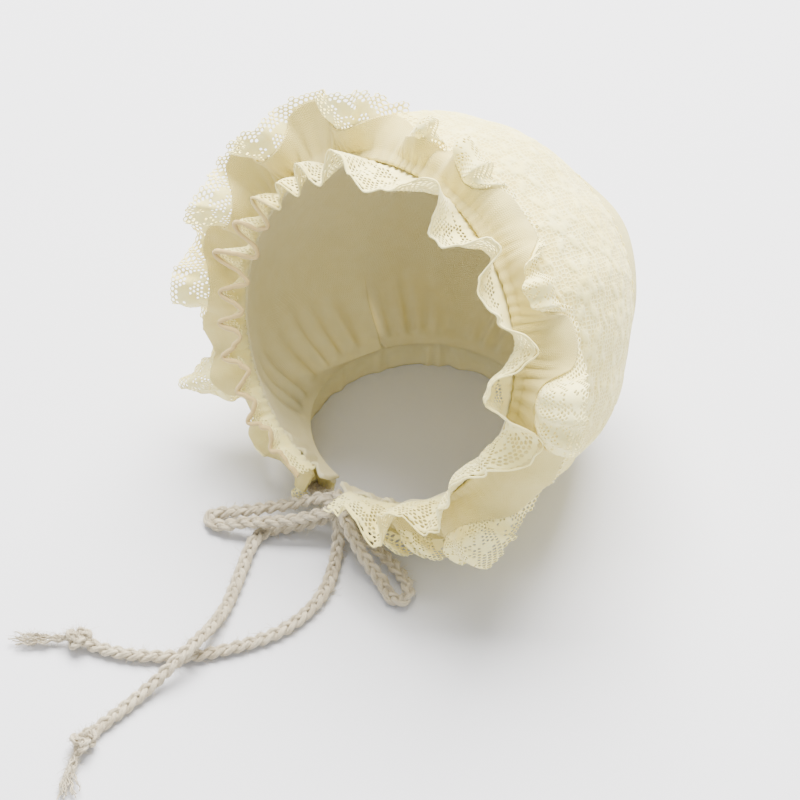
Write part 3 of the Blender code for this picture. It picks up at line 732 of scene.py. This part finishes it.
def about_neck(drop, azimuth):
    """Directions at an angle from straight down, by the azimuth from the back towards +X."""
    drop, azimuth = np.broadcast_arrays(drop, azimuth)
    level = np.sin(drop)[..., None] * np.stack([np.sin(azimuth), np.cos(azimuth)], axis=-1)
    return np.concatenate([level, -np.cos(drop)[..., None]], axis=-1)


def above_neck(directions):
    """The azimuth of directions from the back, and their angle above the neck edge."""
    azimuth = np.arctan2(directions[..., 0], directions[..., 1])
    drop = np.arccos(np.clip(-directions[..., 2], -1.0, 1.0))
    return azimuth, drop - neck_drop(azimuth)


def between(first, last, rows):
    """Rows of directions along the shortest arcs from first to last."""
    angle = np.arccos(np.clip((first * last).sum(-1), -1.0, 1.0))[:, None, None]
    share = np.linspace(0.0, 1.0, rows + 1)[None, :, None]
    return unit(np.sin((1 - share) * angle) * first[:, None] + np.sin(share * angle) * last[:, None])


def fullness(directions):
    """How far the crown's cloth stands off the sphere: the sections, the bulge of the back panel,
    and a long gaussian dent for each fold, all drawn in near the neck and the front edge."""
    from_face = np.arccos(np.clip(directions @ FACE, -1.0, 1.0))
    from_edge = (from_face - FACE_ANGLE) / (math.pi - FACE_ANGLE)
    full = PUFF * curve_through(*CROWN_SECTIONS.T, from_edge)
    full = full + BACK_BULGE * ease((from_face - SEAM_ANGLE) / (math.pi - SEAM_ANGLE) * 2.2)
    for turn, from_front, width, length, depth in CROWN_FOLDS:
        angle, turn = FACE_ANGLE + from_front * (math.pi - FACE_ANGLE), math.radians(turn)
        middle, along = about_face(angle, turn), about_face(angle + math.pi / 2, turn)
        side = directions @ np.cross(middle, along) / math.radians(width)
        run = directions @ along / math.radians(length)
        full = full - FOLD_DEPTH * depth * (directions @ middle > 0) * np.exp(-(side**2) - run**2)
    return full * ease(above_neck(directions)[1] / NECK_DRAW) * ease(from_edge / EDGE_DRAW)


cosine = (-math.cos(SEAM_ANGLE) - math.cos(NECK_ANGLE) * math.sin(FACE_TILT)) / (
    math.sin(NECK_ANGLE) * math.cos(FACE_TILT)
)
CORNER = math.acos(cosine)
corner_place = about_neck(neck_drop(np.array(CORNER)), np.array(CORNER))
CORNER_TURN = math.atan2(corner_place @ ACROSS, corner_place @ RISE)


def strip_directions(columns, rows):
    """The strip: from the front edge back to the seam, and down to the neck at the sides."""
    slit = CHIN_SLIT / 2 / EDGE_RING
    neck_slit = CHIN_SLIT / 2 / (SKIN * math.sin(NECK_CHIN_ANGLE))
    turn = np.linspace(-math.pi + slit, math.pi - slit, columns + 1)
    past = (np.abs(turn) - CORNER_TURN) / (math.pi - slit - CORNER_TURN)
    azimuth = (CORNER + np.clip(past, 0, 1) * (math.pi - neck_slit - CORNER)) * np.sign(turn)
    seam = about_face(SEAM_ANGLE + SEAM_LAP / SKIN, turn)
    last = np.where((past > 0)[:, None], about_neck(neck_drop(azimuth), azimuth), seam)
    return between(about_face(FACE_ANGLE, turn), last, rows)


def back_directions(columns, rows):
    """The panel inside the seam, cut off by the neck edge at the bottom."""
    run = np.linspace(-1.0, 1.0, columns + 1) * BACK_REACH
    seam = about_face(SEAM_ANGLE - SEAM_LAP / SKIN, run * CORNER_TURN)
    neck = about_neck(neck_drop(run * CORNER), run * CORNER)
    return between(seam, neck, rows)


# %% [markdown]
# ### The lace's pattern
# The lace has a traditional floral ground: open flowers of five petals with leaves round them on
# a wavy stem, worked solid on net. It is one function of the place on the cloth, in millimetres.

# %% The pattern
REPEAT_ALONG, REPEAT_ACROSS = 22.0, 17.0


def soft_edge(inside):
    """1 where the distance inside a shape, in millimetres, is positive, and 0 where it's not."""
    return ease(inside / 0.7 + 0.5)


def leaf(x, y, at_x, at_y, angle, length, width):
    """A pointed leaf: an arc's height over its length, open along the vein."""
    cos, sin = math.cos(angle), math.sin(angle)
    along = (x - at_x) * cos + (y - at_y) * sin
    aside = np.abs((y - at_y) * cos - (x - at_x) * sin)
    share = np.clip(1 - (2 * along / length) ** 2, 0.0, 1.0)
    return soft_edge(width / 2 * share - aside - 0.05)


def pattern(along, across):
    """How solid the lace is at a place on the cloth, from 0 for net to 1."""
    row = np.floor(across / REPEAT_ACROSS)
    x = (along / REPEAT_ALONG + 0.5 * (row % 2)) % 1.0 * REPEAT_ALONG - REPEAT_ALONG / 2
    y = across - (row + 0.5) * REPEAT_ACROSS
    far, angle = np.hypot(x, y), np.arctan2(y, x)
    petals = 4.9 * (0.66 + 0.34 * np.abs(np.cos(2.5 * angle)))
    flower = soft_edge(petals - far) * (1 - soft_edge(1.2 - far))
    veins = soft_edge(np.abs(np.sin(2.5 * angle)) * far - 0.35)
    flower = flower * np.maximum(veins, soft_edge(2.2 - far))
    solid = flower
    for at, lean, length, width in (
        ((7.6, 2.2), 0.5, 6.4, 3.0), ((7.4, -3.4), -0.6, 6.0, 2.8), ((-7.6, -2.2), 0.5, 6.4, 3.0),
        ((-7.4, 3.4), -0.6, 6.0, 2.8), ((0.6, 6.9), 1.4, 4.4, 2.4), ((-0.6, -6.9), 1.4, 4.4, 2.4),
    ):
        solid = np.maximum(solid, leaf(x, y, *at, lean, length, width))
    stem = np.abs(across - (row + 0.5) * REPEAT_ACROSS - 7.2 - 1.2 * np.sin(along * 0.57))
    return np.maximum(solid, soft_edge(0.55 - stem))


# %% The strip and the back panel
PLEATS, GATHER_DEPTH, PUCKER_DEPTH, LACE_HEIGHT, LINING_LIFT = 17, 0.0018, 0.00034, 0.00030, 0.0002
STRIP_SWELL, BACK_SWELL, STRIP_ROLL, BACK_ROLL = 0.00016, 0.00018, 0.0009, 0.0007


def cloth_map(points):
    """The length of cloth along the middle row, and across every column, in millimetres."""
    middle = points[:, points.shape[1] // 2]
    along = np.concatenate([[0.0], np.cumsum(np.linalg.norm(np.diff(middle, axis=0), axis=1))])
    across = np.cumsum(np.linalg.norm(np.diff(points, axis=1), axis=2), axis=1)
    across = np.concatenate([np.zeros((len(points), 1)), across], axis=1)
    along = np.broadcast_to(along[:, None], across.shape)
    return along / MM, across / MM


def seam_puckers(along, off_seam):
    """Small pulls beside a seam, some 5 mm apart: noise along it that starts just off the stitches
    and fades by 9 mm from them."""
    fades = ease(off_seam / 1.6) * (1 - ease(off_seam / 9.0))
    return PUCKER_DEPTH * wander(along / 2.4, 45) * fades


def neck_gathers(directions):
    """Upright pleats where the casing draws the crown in: a wave round the neck that swells just
    above the casing and dies out by 30 degrees from the neck edge."""
    azimuth, up = above_neck(directions)
    up = np.degrees(up)
    wave = np.sin(azimuth * 2 * PLEATS + 3.0 * wander(azimuth * 5, 46))
    wave = wave * (0.8 + 0.4 * wander(azimuth * 9, 47))
    return GATHER_DEPTH * wave * ease((up - 2.4) / 3.5) * (1 - ease((up - 4.0) / 26.0))


def add_cloth(name, slot, cadnode, outer, inner, finishes, held, rests_on, mapped=None, motif=None):
    """A sheet of two skins that stands for a solid. The outer skin takes the first finish, and the
    inner skin and the rim the last. Its map and its flat size are those of mapped, or else outer."""
    mapped = outer if mapped is None else mapped
    points, front, rear, rim = wall(outer, inner)
    uv = np.stack(cloth_map(mapped), axis=-1).reshape(-1, 2)
    finish_of = np.repeat([0, len(finishes) - 1], [len(front), len(rear) + len(rim)])
    masks = [] if motif is None else [("motif", np.tile(motif.ravel(), 2))]
    piece = add_piece(
        name, points, [np.concatenate([front, rear, rim])], finishes, uv=np.concatenate([uv, uv]),
        masks=masks, finish_of=finish_of,
    )
    dress(piece, slot, cadnode)


def off_sphere(directions, more=0.0):
    """The crown's cloth in some directions, pushed out further by more."""
    return CROWN_MIDDLE + directions * (SKIN + fullness(directions) + more)[..., None]


def panel(directions, thick, relief):
    """The outer and the inner skin of a panel, of which the outer one also has a relief."""
    gathered = neck_gathers(directions)
    outer = off_sphere(directions, gathered + thick + relief)
    return outer, off_sphere(directions, gathered + LINING_LIFT)


strip = strip_directions(columns=340, rows=102)
along, across = cloth_map(off_sphere(strip))
solid = pattern(along, across)
to_seam = across[:, -1:] - across
relief = LACE_HEIGHT * solid + STRIP_SWELL * wander(along / 5.5, 41) * wander(across / 6.5, 42)
relief = relief - STRIP_ROLL * (1 - ease(to_seam / 1.8)) + seam_puckers(along, to_seam)
add_cloth(
    "crown_strip", "lace_over_knit", "side_panel", *panel(strip, SIDE_WALL - LINING_LIFT, relief),
    [lace_over, lining_painted_light], "stretched", "neck_band", motif=solid,
)
rear = back_directions(columns=190, rows=76)
along, across = cloth_map(off_sphere(rear))
relief = BACK_SWELL * wander(along / 8.0, 43) * wander(across / 7.0, 44)
relief = relief - BACK_ROLL * (1 - ease(across / 1.6)) + seam_puckers(along, across)
rear_outer, rear_inner = panel(rear, BACK_WALL, relief)
add_cloth(
    "crown_back", "knit", "back_panel", rear_outer, rear_inner, [jersey, lining_painted_light],
    "stretched", "neck_band",
)

# %% [markdown]
# ### The neck casing
# The drawn-in neck edge is a band of jersey folded over the cord. It laps over the panels, flares
# to the table and stands on it, and the cord inside gathers it into small upright pleats.

# %% The casing
CASING_WALL, CASING_LAP, CASING_RISE, CASING_FLARE = 0.0012, 0.0028, 0.0030, 0.0012
CASING_DRAWN, CASING_BULGE, RISE_FROM = 0.0007, 0.0012, math.radians(128)
radius = SKIN + max(SIDE_WALL, BACK_WALL) + GAP
slit = CHIN_SLIT / 2 / (radius * math.sin(NECK_CHIN_ANGLE))
azimuth = np.linspace(-math.pi + slit, math.pi - slit, 601)
out = unit(about_neck(neck_drop(azimuth), azimuth) * np.array((1.0, 1.0, 0.0)))
rise = CASING_RISE * ease((np.abs(azimuth) - RISE_FROM) / (math.pi - RISE_FROM))
pleat = (0.5 - 0.5 * np.cos(azimuth * PLEATS + 1.8 * wander(azimuth * 3, 49)))[:, None]
small = 0.5 - 0.5 * np.sin(azimuth * 2 * PLEATS + 3.0 * wander(azimuth * 5, 46))
small = small * (0.8 + 0.3 * wander(azimuth * 9, 48))


def casing_skin(offset):
    """One skin, by the height on the band: the lap drawn in on the panels, the bend, the foot."""
    lap = about_neck(neck_drop(azimuth) + CASING_LAP / radius, azimuth)
    lap = CROWN_MIDDLE + lap * (radius + offset - CASING_DRAWN)
    bend = CROWN_MIDDLE + about_neck(neck_drop(azimuth), azimuth) * (radius + offset)
    foot = bend + out * (CASING_FLARE + 0.0008 * pleat)
    foot[:, 2] = rise
    middle = (bend + foot) / 2 + out * 0.0004 * pleat
    corners = np.stack([lap, bend, middle, foot], axis=1)
    share = np.linspace(0.0, 3.0, 19)
    points = between_points(corners, np.arange(len(azimuth))[:, None], share[None])
    stitch_line = np.exp(-(((share - 0.75) / 0.16) ** 2))
    bulge = CASING_BULGE * np.sin(math.pi * share / 3) ** 2 - 0.0008 * stitch_line
    bulge = bulge - CASING_BULGE * small[:, None] * ease(share / 1.5)
    return points + (bulge * (1.0 if offset else 0.6))[..., None] * out[:, None]


casing = casing_skin(CASING_WALL)
add_cloth(
    "neck_band", "knit", "neck_casing", casing, casing_skin(0.0), [jersey, lining_painted_light],
    "gathered", "table_top",
)

# %% Stitches
STITCH_THREAD, STITCH_RISE, STITCH_DIP = 0.00019, 0.00034, 0.00012


def stitches(name, line, away, spacing, long, seed):
    """A row of running stitches along a line: each is a short thread that leaves the cloth, lies
    on it and goes back in, as sin(pi t) says of its distance away from the cloth."""
    path, lengths = resampled(line, spacing / 12)
    starts = np.arange(0.0, lengths[-1] - spacing, spacing)
    starts = starts + spacing * 0.08 * wander(starts / spacing, seed)
    t = np.linspace(0.0, 1.0, 7)
    at = starts[:, None] + long * t[None]
    places = np.stack([np.interp(at, lengths, path[:, k]) for k in range(3)], axis=-1)
    along_line = np.linspace(0.0, lengths[-1], len(away))
    away = np.stack([np.interp(at, along_line, away[:, k]) for k in range(3)], axis=-1)
    places = places + unit(away) * (STITCH_RISE * np.sin(math.pi * t) - STITCH_DIP)[None, :, None]
    add_threads(name, "knit", lace_net, places, STITCH_THREAD, 6)


stitches("neck_stitches", casing[:, 5], out, spacing=0.0031, long=0.0021, seed=81)
stitches("seam_stitches", rear_outer[:, 2], rear[:, 2], spacing=0.0030, long=0.0019, seed=82)

# %% [markdown]
# ## The wide frill
# The wide frill is two layers gathered as one: smooth jersey in front and lace behind it, whose
# net border runs on past the jersey. Its folds come from the same table as in the source: each row
# is one fold, with how deep and wide it is, how far its free edge leans back, and how far it is
# dragged round the opening.

# %% Folds of the wide frill
OUTER_WIDTH, OUTER_DEPTH, OUTER_CURL, OUTER_WALL = 0.0345, 0.0094, 0.10, 0.0012
OUTER_SET_BACK, OUTER_START, FRILL_CHIN_GAP, FOLD_PINCH = 0.0018, math.radians(-6), 0.0145, 0.22
OUTER_GATHER, INNER_GATHER, GATHER_RISE = 0.0030, 0.0024, 0.00045
LOWEST, TABLE_SOFT, CROWN_SOFT = 0.0012, 0.0030, 0.0005
OUTER_FOLDS = np.array((
    # run, depth, width, lean, sweep
    (-1.000, 0.20, 0.52, 40, 0), (-0.875, 0.70, 0.80, 80, 0), (-0.755, 0.90, 0.80, 34, 0),
    (-0.615, 0.90, 0.68, -12, 3), (-0.465, 0.90, 0.70, -50, -3), (-0.313, 0.90, 0.68, -50, 0),
    (-0.157, 0.80, 0.58, 10, 0), (-0.030, 0.70, 0.66, 110, 0), (0.080, 0.80, 0.88, 112, 0),
    (0.290, 0.90, 0.84, 108, 0), (0.475, 1.00, 0.92, 84, 0), (0.755, 1.10, 0.90, 84, 0),
    (0.880, 0.80, 0.74, 66, -28), (1.000, 0.25, 0.80, 26, -64),
))
INNER_WIDTH, INNER_DEPTH, INNER_CURL = 0.0160, 0.0053, 0.05
INNER_FOLDS = np.array((
    # run, depth, width, lean
    (-1.000, 0.15, 0.45, 10), (-0.928, 0.60, 0.55, -16), (-0.858, 0.70, 0.62, -34),
    (-0.788, 0.85, 0.66, -42), (-0.719, 0.90, 0.70, -44), (-0.649, 0.95, 0.70, -44),
    (-0.580, 1.00, 0.72, -44), (-0.510, 1.00, 0.72, -44), (-0.440, 0.95, 0.72, -44),
    (-0.371, 0.95, 0.70, -42), (-0.301, 0.90, 0.70, -38), (-0.226, 1.00, 0.78, -24),
    (-0.116, 1.10, 1.00, 0), (0.070, 1.30, 1.25, 22), (0.215, 1.15, 0.95, 50),
    (0.375, 1.30, 1.00, 60), (0.535, 1.30, 1.15, 96), (0.742, 1.00, 1.05, 30),
    (0.875, 0.90, 0.95, 22), (1.000, 0.25, 0.70, 26),
))


def table_column(folds, number, count):
    """A column of a fold table, smoothed between its rows."""
    return curve_through(np.arange(len(folds)), folds[:, number], count)


def clear_of(least, softness, reach):
    """How far out a point lies when it may not come nearer than least, eased in softly."""
    return least + softness * np.logaddexp(0.0, (reach - least) / softness)


def laid_off(points):
    """The points with those near or inside the crown eased out to lie on it, and those near or
    below the table bent up to lie on that."""
    reach = np.linalg.norm(points - CROWN_MIDDLE, axis=-1)
    towards = (points - CROWN_MIDDLE) / reach[..., None]
    least = SKIN + fullness(towards) + SIDE_WALL + GAP + OUTER_WALL / 2
    points = CROWN_MIDDLE + towards * clear_of(least, CROWN_SOFT, reach)[..., None]
    points[..., 2] = clear_of(LOWEST, TABLE_SOFT, points[..., 2])
    return points


def folded(root, start, finish, width, folds, count, depth, curl, rows, seed, sharp, uneven):
    """The middle of a frill: it leaves its root in the start direction and bends to the finish
    direction. Folds grow towards the free edge as cos p + pinch cos 2p + sharp cos 3p, and lean as
    sin 2p. The depth of each fold and the place of its crest drift a little by uneven, so that no
    two are alike. The second result is the direction that the folds stand up in."""
    s = np.linspace(0.0, 1.0, rows + 1)[None, :, None]
    bend = (s - s * s / 2) * start[:, None] + s * s / 2 * finish[:, None]
    middle = root[:, None] + width[:, None, None] * bend
    around = unit(np.gradient(root, axis=0))
    facing = unit(np.cross(around, start + finish))
    share = table_column(folds, 1, count)[:, None, None]
    share = share * (1.0 + uneven * wander(count * 1.1, seed))[:, None, None]
    drift_of = (0.10 + 1.4 * uneven) * wander(count * 0.9, seed + 1)
    drift_of = drift_of * np.sin(math.pi * count / count[-1])
    phase = (2 * math.pi * count + drift_of)[:, None, None]
    grown = s**0.8
    shape = np.cos(phase) + FOLD_PINCH * np.cos(2 * phase) + sharp * np.cos(3 * phase)
    wave = depth * share * shape * grown
    spacing = np.linalg.norm(np.gradient(root, count, axis=0), axis=1)[:, None, None]
    slip = curl * spacing * share * np.sin(2 * phase) * grown
    return middle + wave * facing[:, None] + slip * around[:, None], facing


def places_of(folds, steps):
    """Where the columns lie: the fold count and the turn round the opening at each, and the
    directions out from the opening's axis and round it."""
    count = np.linspace(0.0, len(folds) - 1.0, steps * (len(folds) - 1) + 1)
    turn = table_column(folds, 0, count) * (math.pi - FRILL_CHIN_GAP / 2 / EDGE_RING)
    return count, turn, outward(turn), outward(turn + math.pi / 2)


def gathers(turn, spacing, seed):
    """The fine gathers along a sewn edge: a sine of the turn whose spacing drifts."""
    return np.sin(2 * math.pi * (turn * EDGE_RING / spacing + 0.8 * wander(turn / 0.22, seed)))


def ripples(points, facing, turn, length, height, gather, seed):
    """Small waves of the cloth itself: a fine gather at the root that fades by mid width, and
    broader ripples that grow to the free edge."""
    along, across = cloth_map(points)
    share = across / across[:, -1:]
    drawn = gathers(turn, gather, seed) * (0.7 + 0.6 * wander(turn / 0.30, seed + 7))
    fine = drawn[:, None] * (1 - ease(share / 0.6)) * GATHER_RISE
    broad = wander(along / length, seed + 1) * (0.35 + 0.65 * share) * height
    slow = 0.0004 * wander(along / 9.0 + across / 14.0, seed + 2)
    return points + (fine + broad * share + slow * share)[..., None] * facing[:, None]


def wide_frill(steps, rows):
    """The middle of the wide frill, sewn on just behind the front edge."""
    count, turn, radial, around = places_of(OUTER_FOLDS, steps)
    sweep = np.radians(table_column(OUTER_FOLDS, 4, count))[:, None]
    lean = np.radians(table_column(OUTER_FOLDS, 3, count))[:, None]
    out = np.cos(sweep) * radial + np.sin(sweep) * around
    start = math.cos(OUTER_START) * out - math.sin(OUTER_START) * FACE
    finish = np.cos(lean) * out - np.sin(lean) * FACE
    seat = SKIN + SIDE_WALL + GAP + OUTER_WALL / 2
    root = CROWN_MIDDLE + about_face(FACE_ANGLE + OUTER_SET_BACK / SKIN, turn) * seat
    width = OUTER_WIDTH * table_column(OUTER_FOLDS, 2, count)
    middle, facing = folded(
        root, start, finish, width, OUTER_FOLDS, count, OUTER_DEPTH, OUTER_CURL, rows,
        seed=53, sharp=0.0, uneven=0.22,
    )
    middle = ripples(
        middle, facing, turn, length=5.0, height=0.0020, gather=OUTER_GATHER, seed=51
    )
    return laid_off(middle), count, turn


def heading(middle, turn, rows):
    """The gathered heading, from the front edge of the crown over the seam and out into the frill:
    a curve that starts at the edge, heads for the root and joins the frill's fourth row."""
    t = np.linspace(0.0, 1.0, rows + 1)[None, :-1, None]
    first = CROWN_MIDDLE + about_face(FACE_ANGLE, turn) * (SKIN + SIDE_WALL * 0.85) + FACE * 0.0010
    first = first + (0.00020 * gathers(turn, OUTER_GATHER, 51))[:, None] * FACE
    bent = (1 - t) ** 2 * first[:, None] + 2 * t * (1 - t) * middle[:, :1] + t * t * middle[:, 3:4]
    return np.concatenate([bent, middle[:, 3:]], axis=1)


def narrow_frill(steps, rows):
    """The middle of the narrow frill, which stands forward from the front edge."""
    count, turn, radial, _ = places_of(INNER_FOLDS, steps)
    lean = np.radians(table_column(INNER_FOLDS, 3, count))[:, None]
    finish = np.cos(lean) * FACE + np.sin(lean) * radial
    seat = about_face(FACE_ANGLE, turn) * (SKIN + SIDE_WALL / 2)
    root = CROWN_MIDDLE + seat + FACE * (GAP + SIDE_WALL / 2)
    width = INNER_WIDTH * table_column(INNER_FOLDS, 2, count)
    flatter = 0.26 * ease((0.3 - turn) / 0.9) + 0.24 * ease((-2.2 - turn) / 0.6)
    depth = -INNER_DEPTH * (1 - flatter)[:, None, None]
    middle, facing = folded(
        root, np.broadcast_to(FACE, finish.shape), finish, width, INNER_FOLDS, count, depth,
        INNER_CURL, rows, seed=63, sharp=0.24, uneven=0.42,
    )
    height = 0.0011 + 0.0008 * ease((turn + 0.2) / 0.6)[:, None]
    return ripples(middle, facing, turn, length=2.6, height=height, gather=INNER_GATHER, seed=61)


# %% The jersey layer of the wide frill
ROWS, KNIT_FRONT, KNIT_BACK = 30, 0.0007, 0.0001
middle, count, turn = wide_frill(steps=60, rows=ROWS)
along, _ = cloth_map(middle)
right_crest = ease(np.cos(2 * math.pi * count) * 0.9 + 0.3) * ease((turn + 0.3) / 0.6)
reach = 0.62 - 0.20 * np.cos(2 * math.pi * count) + 0.06 * wander(along[:, 0] / 21.0, 52)
reach = reach - 0.20 * right_crest
row = reach[:, None] * np.arange(ROWS + 1)[None]
knit = heading(between_points(middle, np.arange(len(middle))[:, None], row), turn, rows=6)
across_knit = normals(knit)
# The frill's jersey finish is painted darker as shade in its folds.
add_cloth(
    "wide_frill_jersey", "knit", "outer_frill", knit + across_knit * KNIT_FRONT,
    knit - across_knit * KNIT_BACK, [frill_jersey_painted_shade], "gathered", "crown_strip", mapped=knit,
)

# %% [markdown]
# ### Net made of thread
# Net is made as a lattice of six-sided cells over the flat cloth, with a hole inside each, and the
# flat place of each corner is then looked up on the folded surface. Cells where the pattern is
# solid are left whole. Corners are whole numbers of half steps, so neighbours share them.

# %% The lattice
CELL = np.array((0.5, math.sqrt(3) / 6))
CORNER_STEPS = np.array([(1, 1), (0, 2), (-1, 1), (-1, -1), (0, -2), (1, -1)])


def lattice(along_size, across_size, pitch):
    """The middles of six-sided cells over a flat band, in half steps."""
    rows = int(across_size / (pitch * math.sqrt(3) / 2))
    i, j = np.meshgrid(np.arange(int(along_size / pitch)), np.arange(rows), indexing="ij")
    i, j = i.ravel(), j.ravel()
    return np.stack([2 * i + j % 2 + 1, 3 * j + 2], axis=1)


def lattice_mesh(keys, whole, hole):
    """Flat corners and faces of the cells: whole cells are one face, and the others six quads
    round a hole that takes a share of the cell."""
    corners = keys[:, None] + CORNER_STEPS[None]
    flat, number = np.unique(corners.reshape(-1, 2), axis=0, return_inverse=True)
    number = number.reshape(len(keys), 6)
    open_cells = number[~whole]
    middles = keys[~whole][:, None] + CORNER_STEPS[None] * hole[~whole][:, None, None]
    first = len(flat) + np.arange(len(open_cells))[:, None] * 6 + np.arange(6)[None]
    after = np.roll(np.arange(6), -1)
    quads = np.stack([open_cells, open_cells[:, after], first[:, after], first], axis=-1)
    flat = np.concatenate([flat, middles.reshape(-1, 2)]) * CELL
    return flat, quads.reshape(-1, 4), number[whole]


def add_net(name, cadnode, points, pitch, thick, offset, solid_at, hole_at, trim):
    """Net over a folded surface. solid_at says, for flat places and the width
    there, whether a cell is whole, and hole_at what share of it the hole takes. trim is how far
    short of the edge the net ends."""
    along, across = cloth_map(points)
    keys = lattice(along[-1, 0], across.max(), pitch)
    u, v = (keys * CELL * pitch).T
    width = np.interp(u, along[:, 0], across[:, -1])
    keep = v < width - trim(u) - pitch * 0.55
    keys, u, v, width = keys[keep], u[keep], v[keep], width[keep]
    whole = solid_at(u, v, width)
    net, quads, hexagons = lattice_mesh(keys, whole, hole_at(v, width))
    net = net * pitch
    column = np.interp(net[:, 0], along[:, 0], np.arange(len(along)))
    width = np.interp(net[:, 0], along[:, 0], across[:, -1])
    row = np.clip(net[:, 1] / width, 0.0, 1.0) * (points.shape[1] - 1)
    places = between_points(points + normals(points) * offset, column, row)
    piece = add_piece(name, places, [quads, hexagons], [lace_net], uv=net)
    body = piece.modifiers.new("thread", "SOLIDIFY")
    body.thickness, body.offset = thick, 0.0
    print(name, "cells", len(keys), "of them whole", int(whole.sum()))
    dress(piece, "lace", cadnode)


# %% Lace behind the jersey, and its net border
FLOP_FORWARD, FLOP_IN = 0.0052, 0.0030
lace, count, turn = wide_frill(steps=60, rows=40)
lace_along, lace_across = cloth_map(lace)
past = ease((lace_across / lace_across[:, -1:] - reach[:, None]) / 0.30)
flutter = 0.0021 * wander(lace_along / 3.6, 56) + 0.0009 * wander(lace_along / 1.7, 57)
flop = ((right_crest * (0.65 + 0.35 * wander(count * 1.7, 58)))[:, None] * past)[..., None]
lace = lace + normals(lace) * (past * flutter)[..., None] + FLOP_FORWARD * flop * FACE
lace = laid_off(lace - FLOP_IN * flop**2 * outward(turn)[:, None])
add_net(
    "wide_frill_lace", "outer_frill", lace, pitch=1.4, thick=0.00030, offset=-0.00045,
    solid_at=lambda u, v, w: (pattern(u, w - v + 3.0) > 0.42) & (v < w - 4.0),
    hole_at=lambda v, w: np.where(v < w - 6.5, 0.56, 0.68),
    trim=lambda u: 0.9 * (1 + np.sin(u * 2 * math.pi / 5.2)) / 2,
)

# %% [markdown]
# ## The narrow frill
# The narrow frill is net and worked lace alone, waved tightly round the opening. Its edge is
# rolled and stitched: a beige roll on one side, and a fine cream one on the other.

# %% Lace of the narrow frill
ROWS, HEADING_ROWS, ROLL_LEAST, ROLL_MORE, ROLL_SIDES = 24, 3, 0.00030, 0.00045, 8
narrow = narrow_frill(steps=40, rows=ROWS)
sewn_on = np.maximum(0.0, 1.0 - np.arange(ROWS + 1) / HEADING_ROWS)[None, :, None]
narrow = narrow - FACE * (GAP + SIDE_WALL / 2 + 0.0004) * sewn_on


def worked(u, v, w):
    """Where the narrow frill is worked solid: its flowers, its edge and its root."""
    return ((pattern(u, v + 4.0) > 0.35) & (v < w - 5.6)) | (v > w - 2.0) | (v < 2.6)


add_net(
    "narrow_frill_lace", "inner_frill", narrow, pitch=1.45, thick=0.00032, offset=0.0,
    solid_at=worked, hole_at=lambda v, w: np.full(len(v), 0.70), trim=lambda u: 0.0,
)
edge = narrow[:, -1]
beige = ease((0.06 - np.linspace(-1.0, 1.0, len(edge))) / 0.16)
along, _ = cloth_map(narrow)
roll = (ROLL_LEAST + ROLL_MORE * beige) * (1 + 0.20 * wander(along[:, 0] / 1.3, 71))
add_threads(
    "narrow_frill_hem", "lace", hem_thread, edge[None], roll[None], ROLL_SIDES,
    masks=[("beige", np.repeat(beige, ROLL_SIDES))],
)

# %% [markdown]
# ## Table and light
# The bonnet stands on a plain pale table in soft studio light. One large square lamp stands behind
# it to the left, and a pale surround fills the shadows.

# %% Table and light
TABLE_COLOUR, TABLE_REACH = linear(209, 209, 213), 3.0
SURROUND, SURROUND_COLOUR = 1.18, (0.96, 0.98, 1.0, 1.0)
KEY_WATTS, KEY_AWAY, KEY_SIZE, KEY_COLOUR = 178.0, 1.6, 1.3, (1.0, 0.985, 0.96)
table_finish = bpy.data.materials.new("pale_table")
table_finish.use_nodes = True
top = table_finish.node_tree.nodes["Principled BSDF"].inputs
top["Base Color"].default_value, top["Roughness"].default_value = TABLE_COLOUR, 0.8
corners = np.array([(-1, -1, 0), (1, -1, 0), (1, 1, 0), (-1, 1, 0)]) * TABLE_REACH
add_piece("table_top", corners, [np.array([[0, 1, 2, 3]])], [table_finish])
world = bpy.data.worlds.new("surround")
bpy.context.scene.world = world
world.use_nodes = True
sky = world.node_tree.nodes["Background"].inputs
sky["Color"].default_value, sky["Strength"].default_value = SURROUND_COLOUR, SURROUND
lamp = bpy.data.lights.new("key_lamp", "AREA")
lamp.energy, lamp.size, lamp.color = KEY_WATTS, KEY_SIZE, KEY_COLOUR
spot = bpy.data.objects.new("key_lamp", lamp)
aim = unit(right * 0.1 + inwards * 0.8 + (0.0, 0.0, 1.5))
side = unit(np.cross((0.0, 0.0, 1.0), aim))
spot.matrix_world = standing((side, np.cross(aim, side), aim), CROWN_MIDDLE + aim * KEY_AWAY)
bpy.context.scene.collection.objects.link(spot)
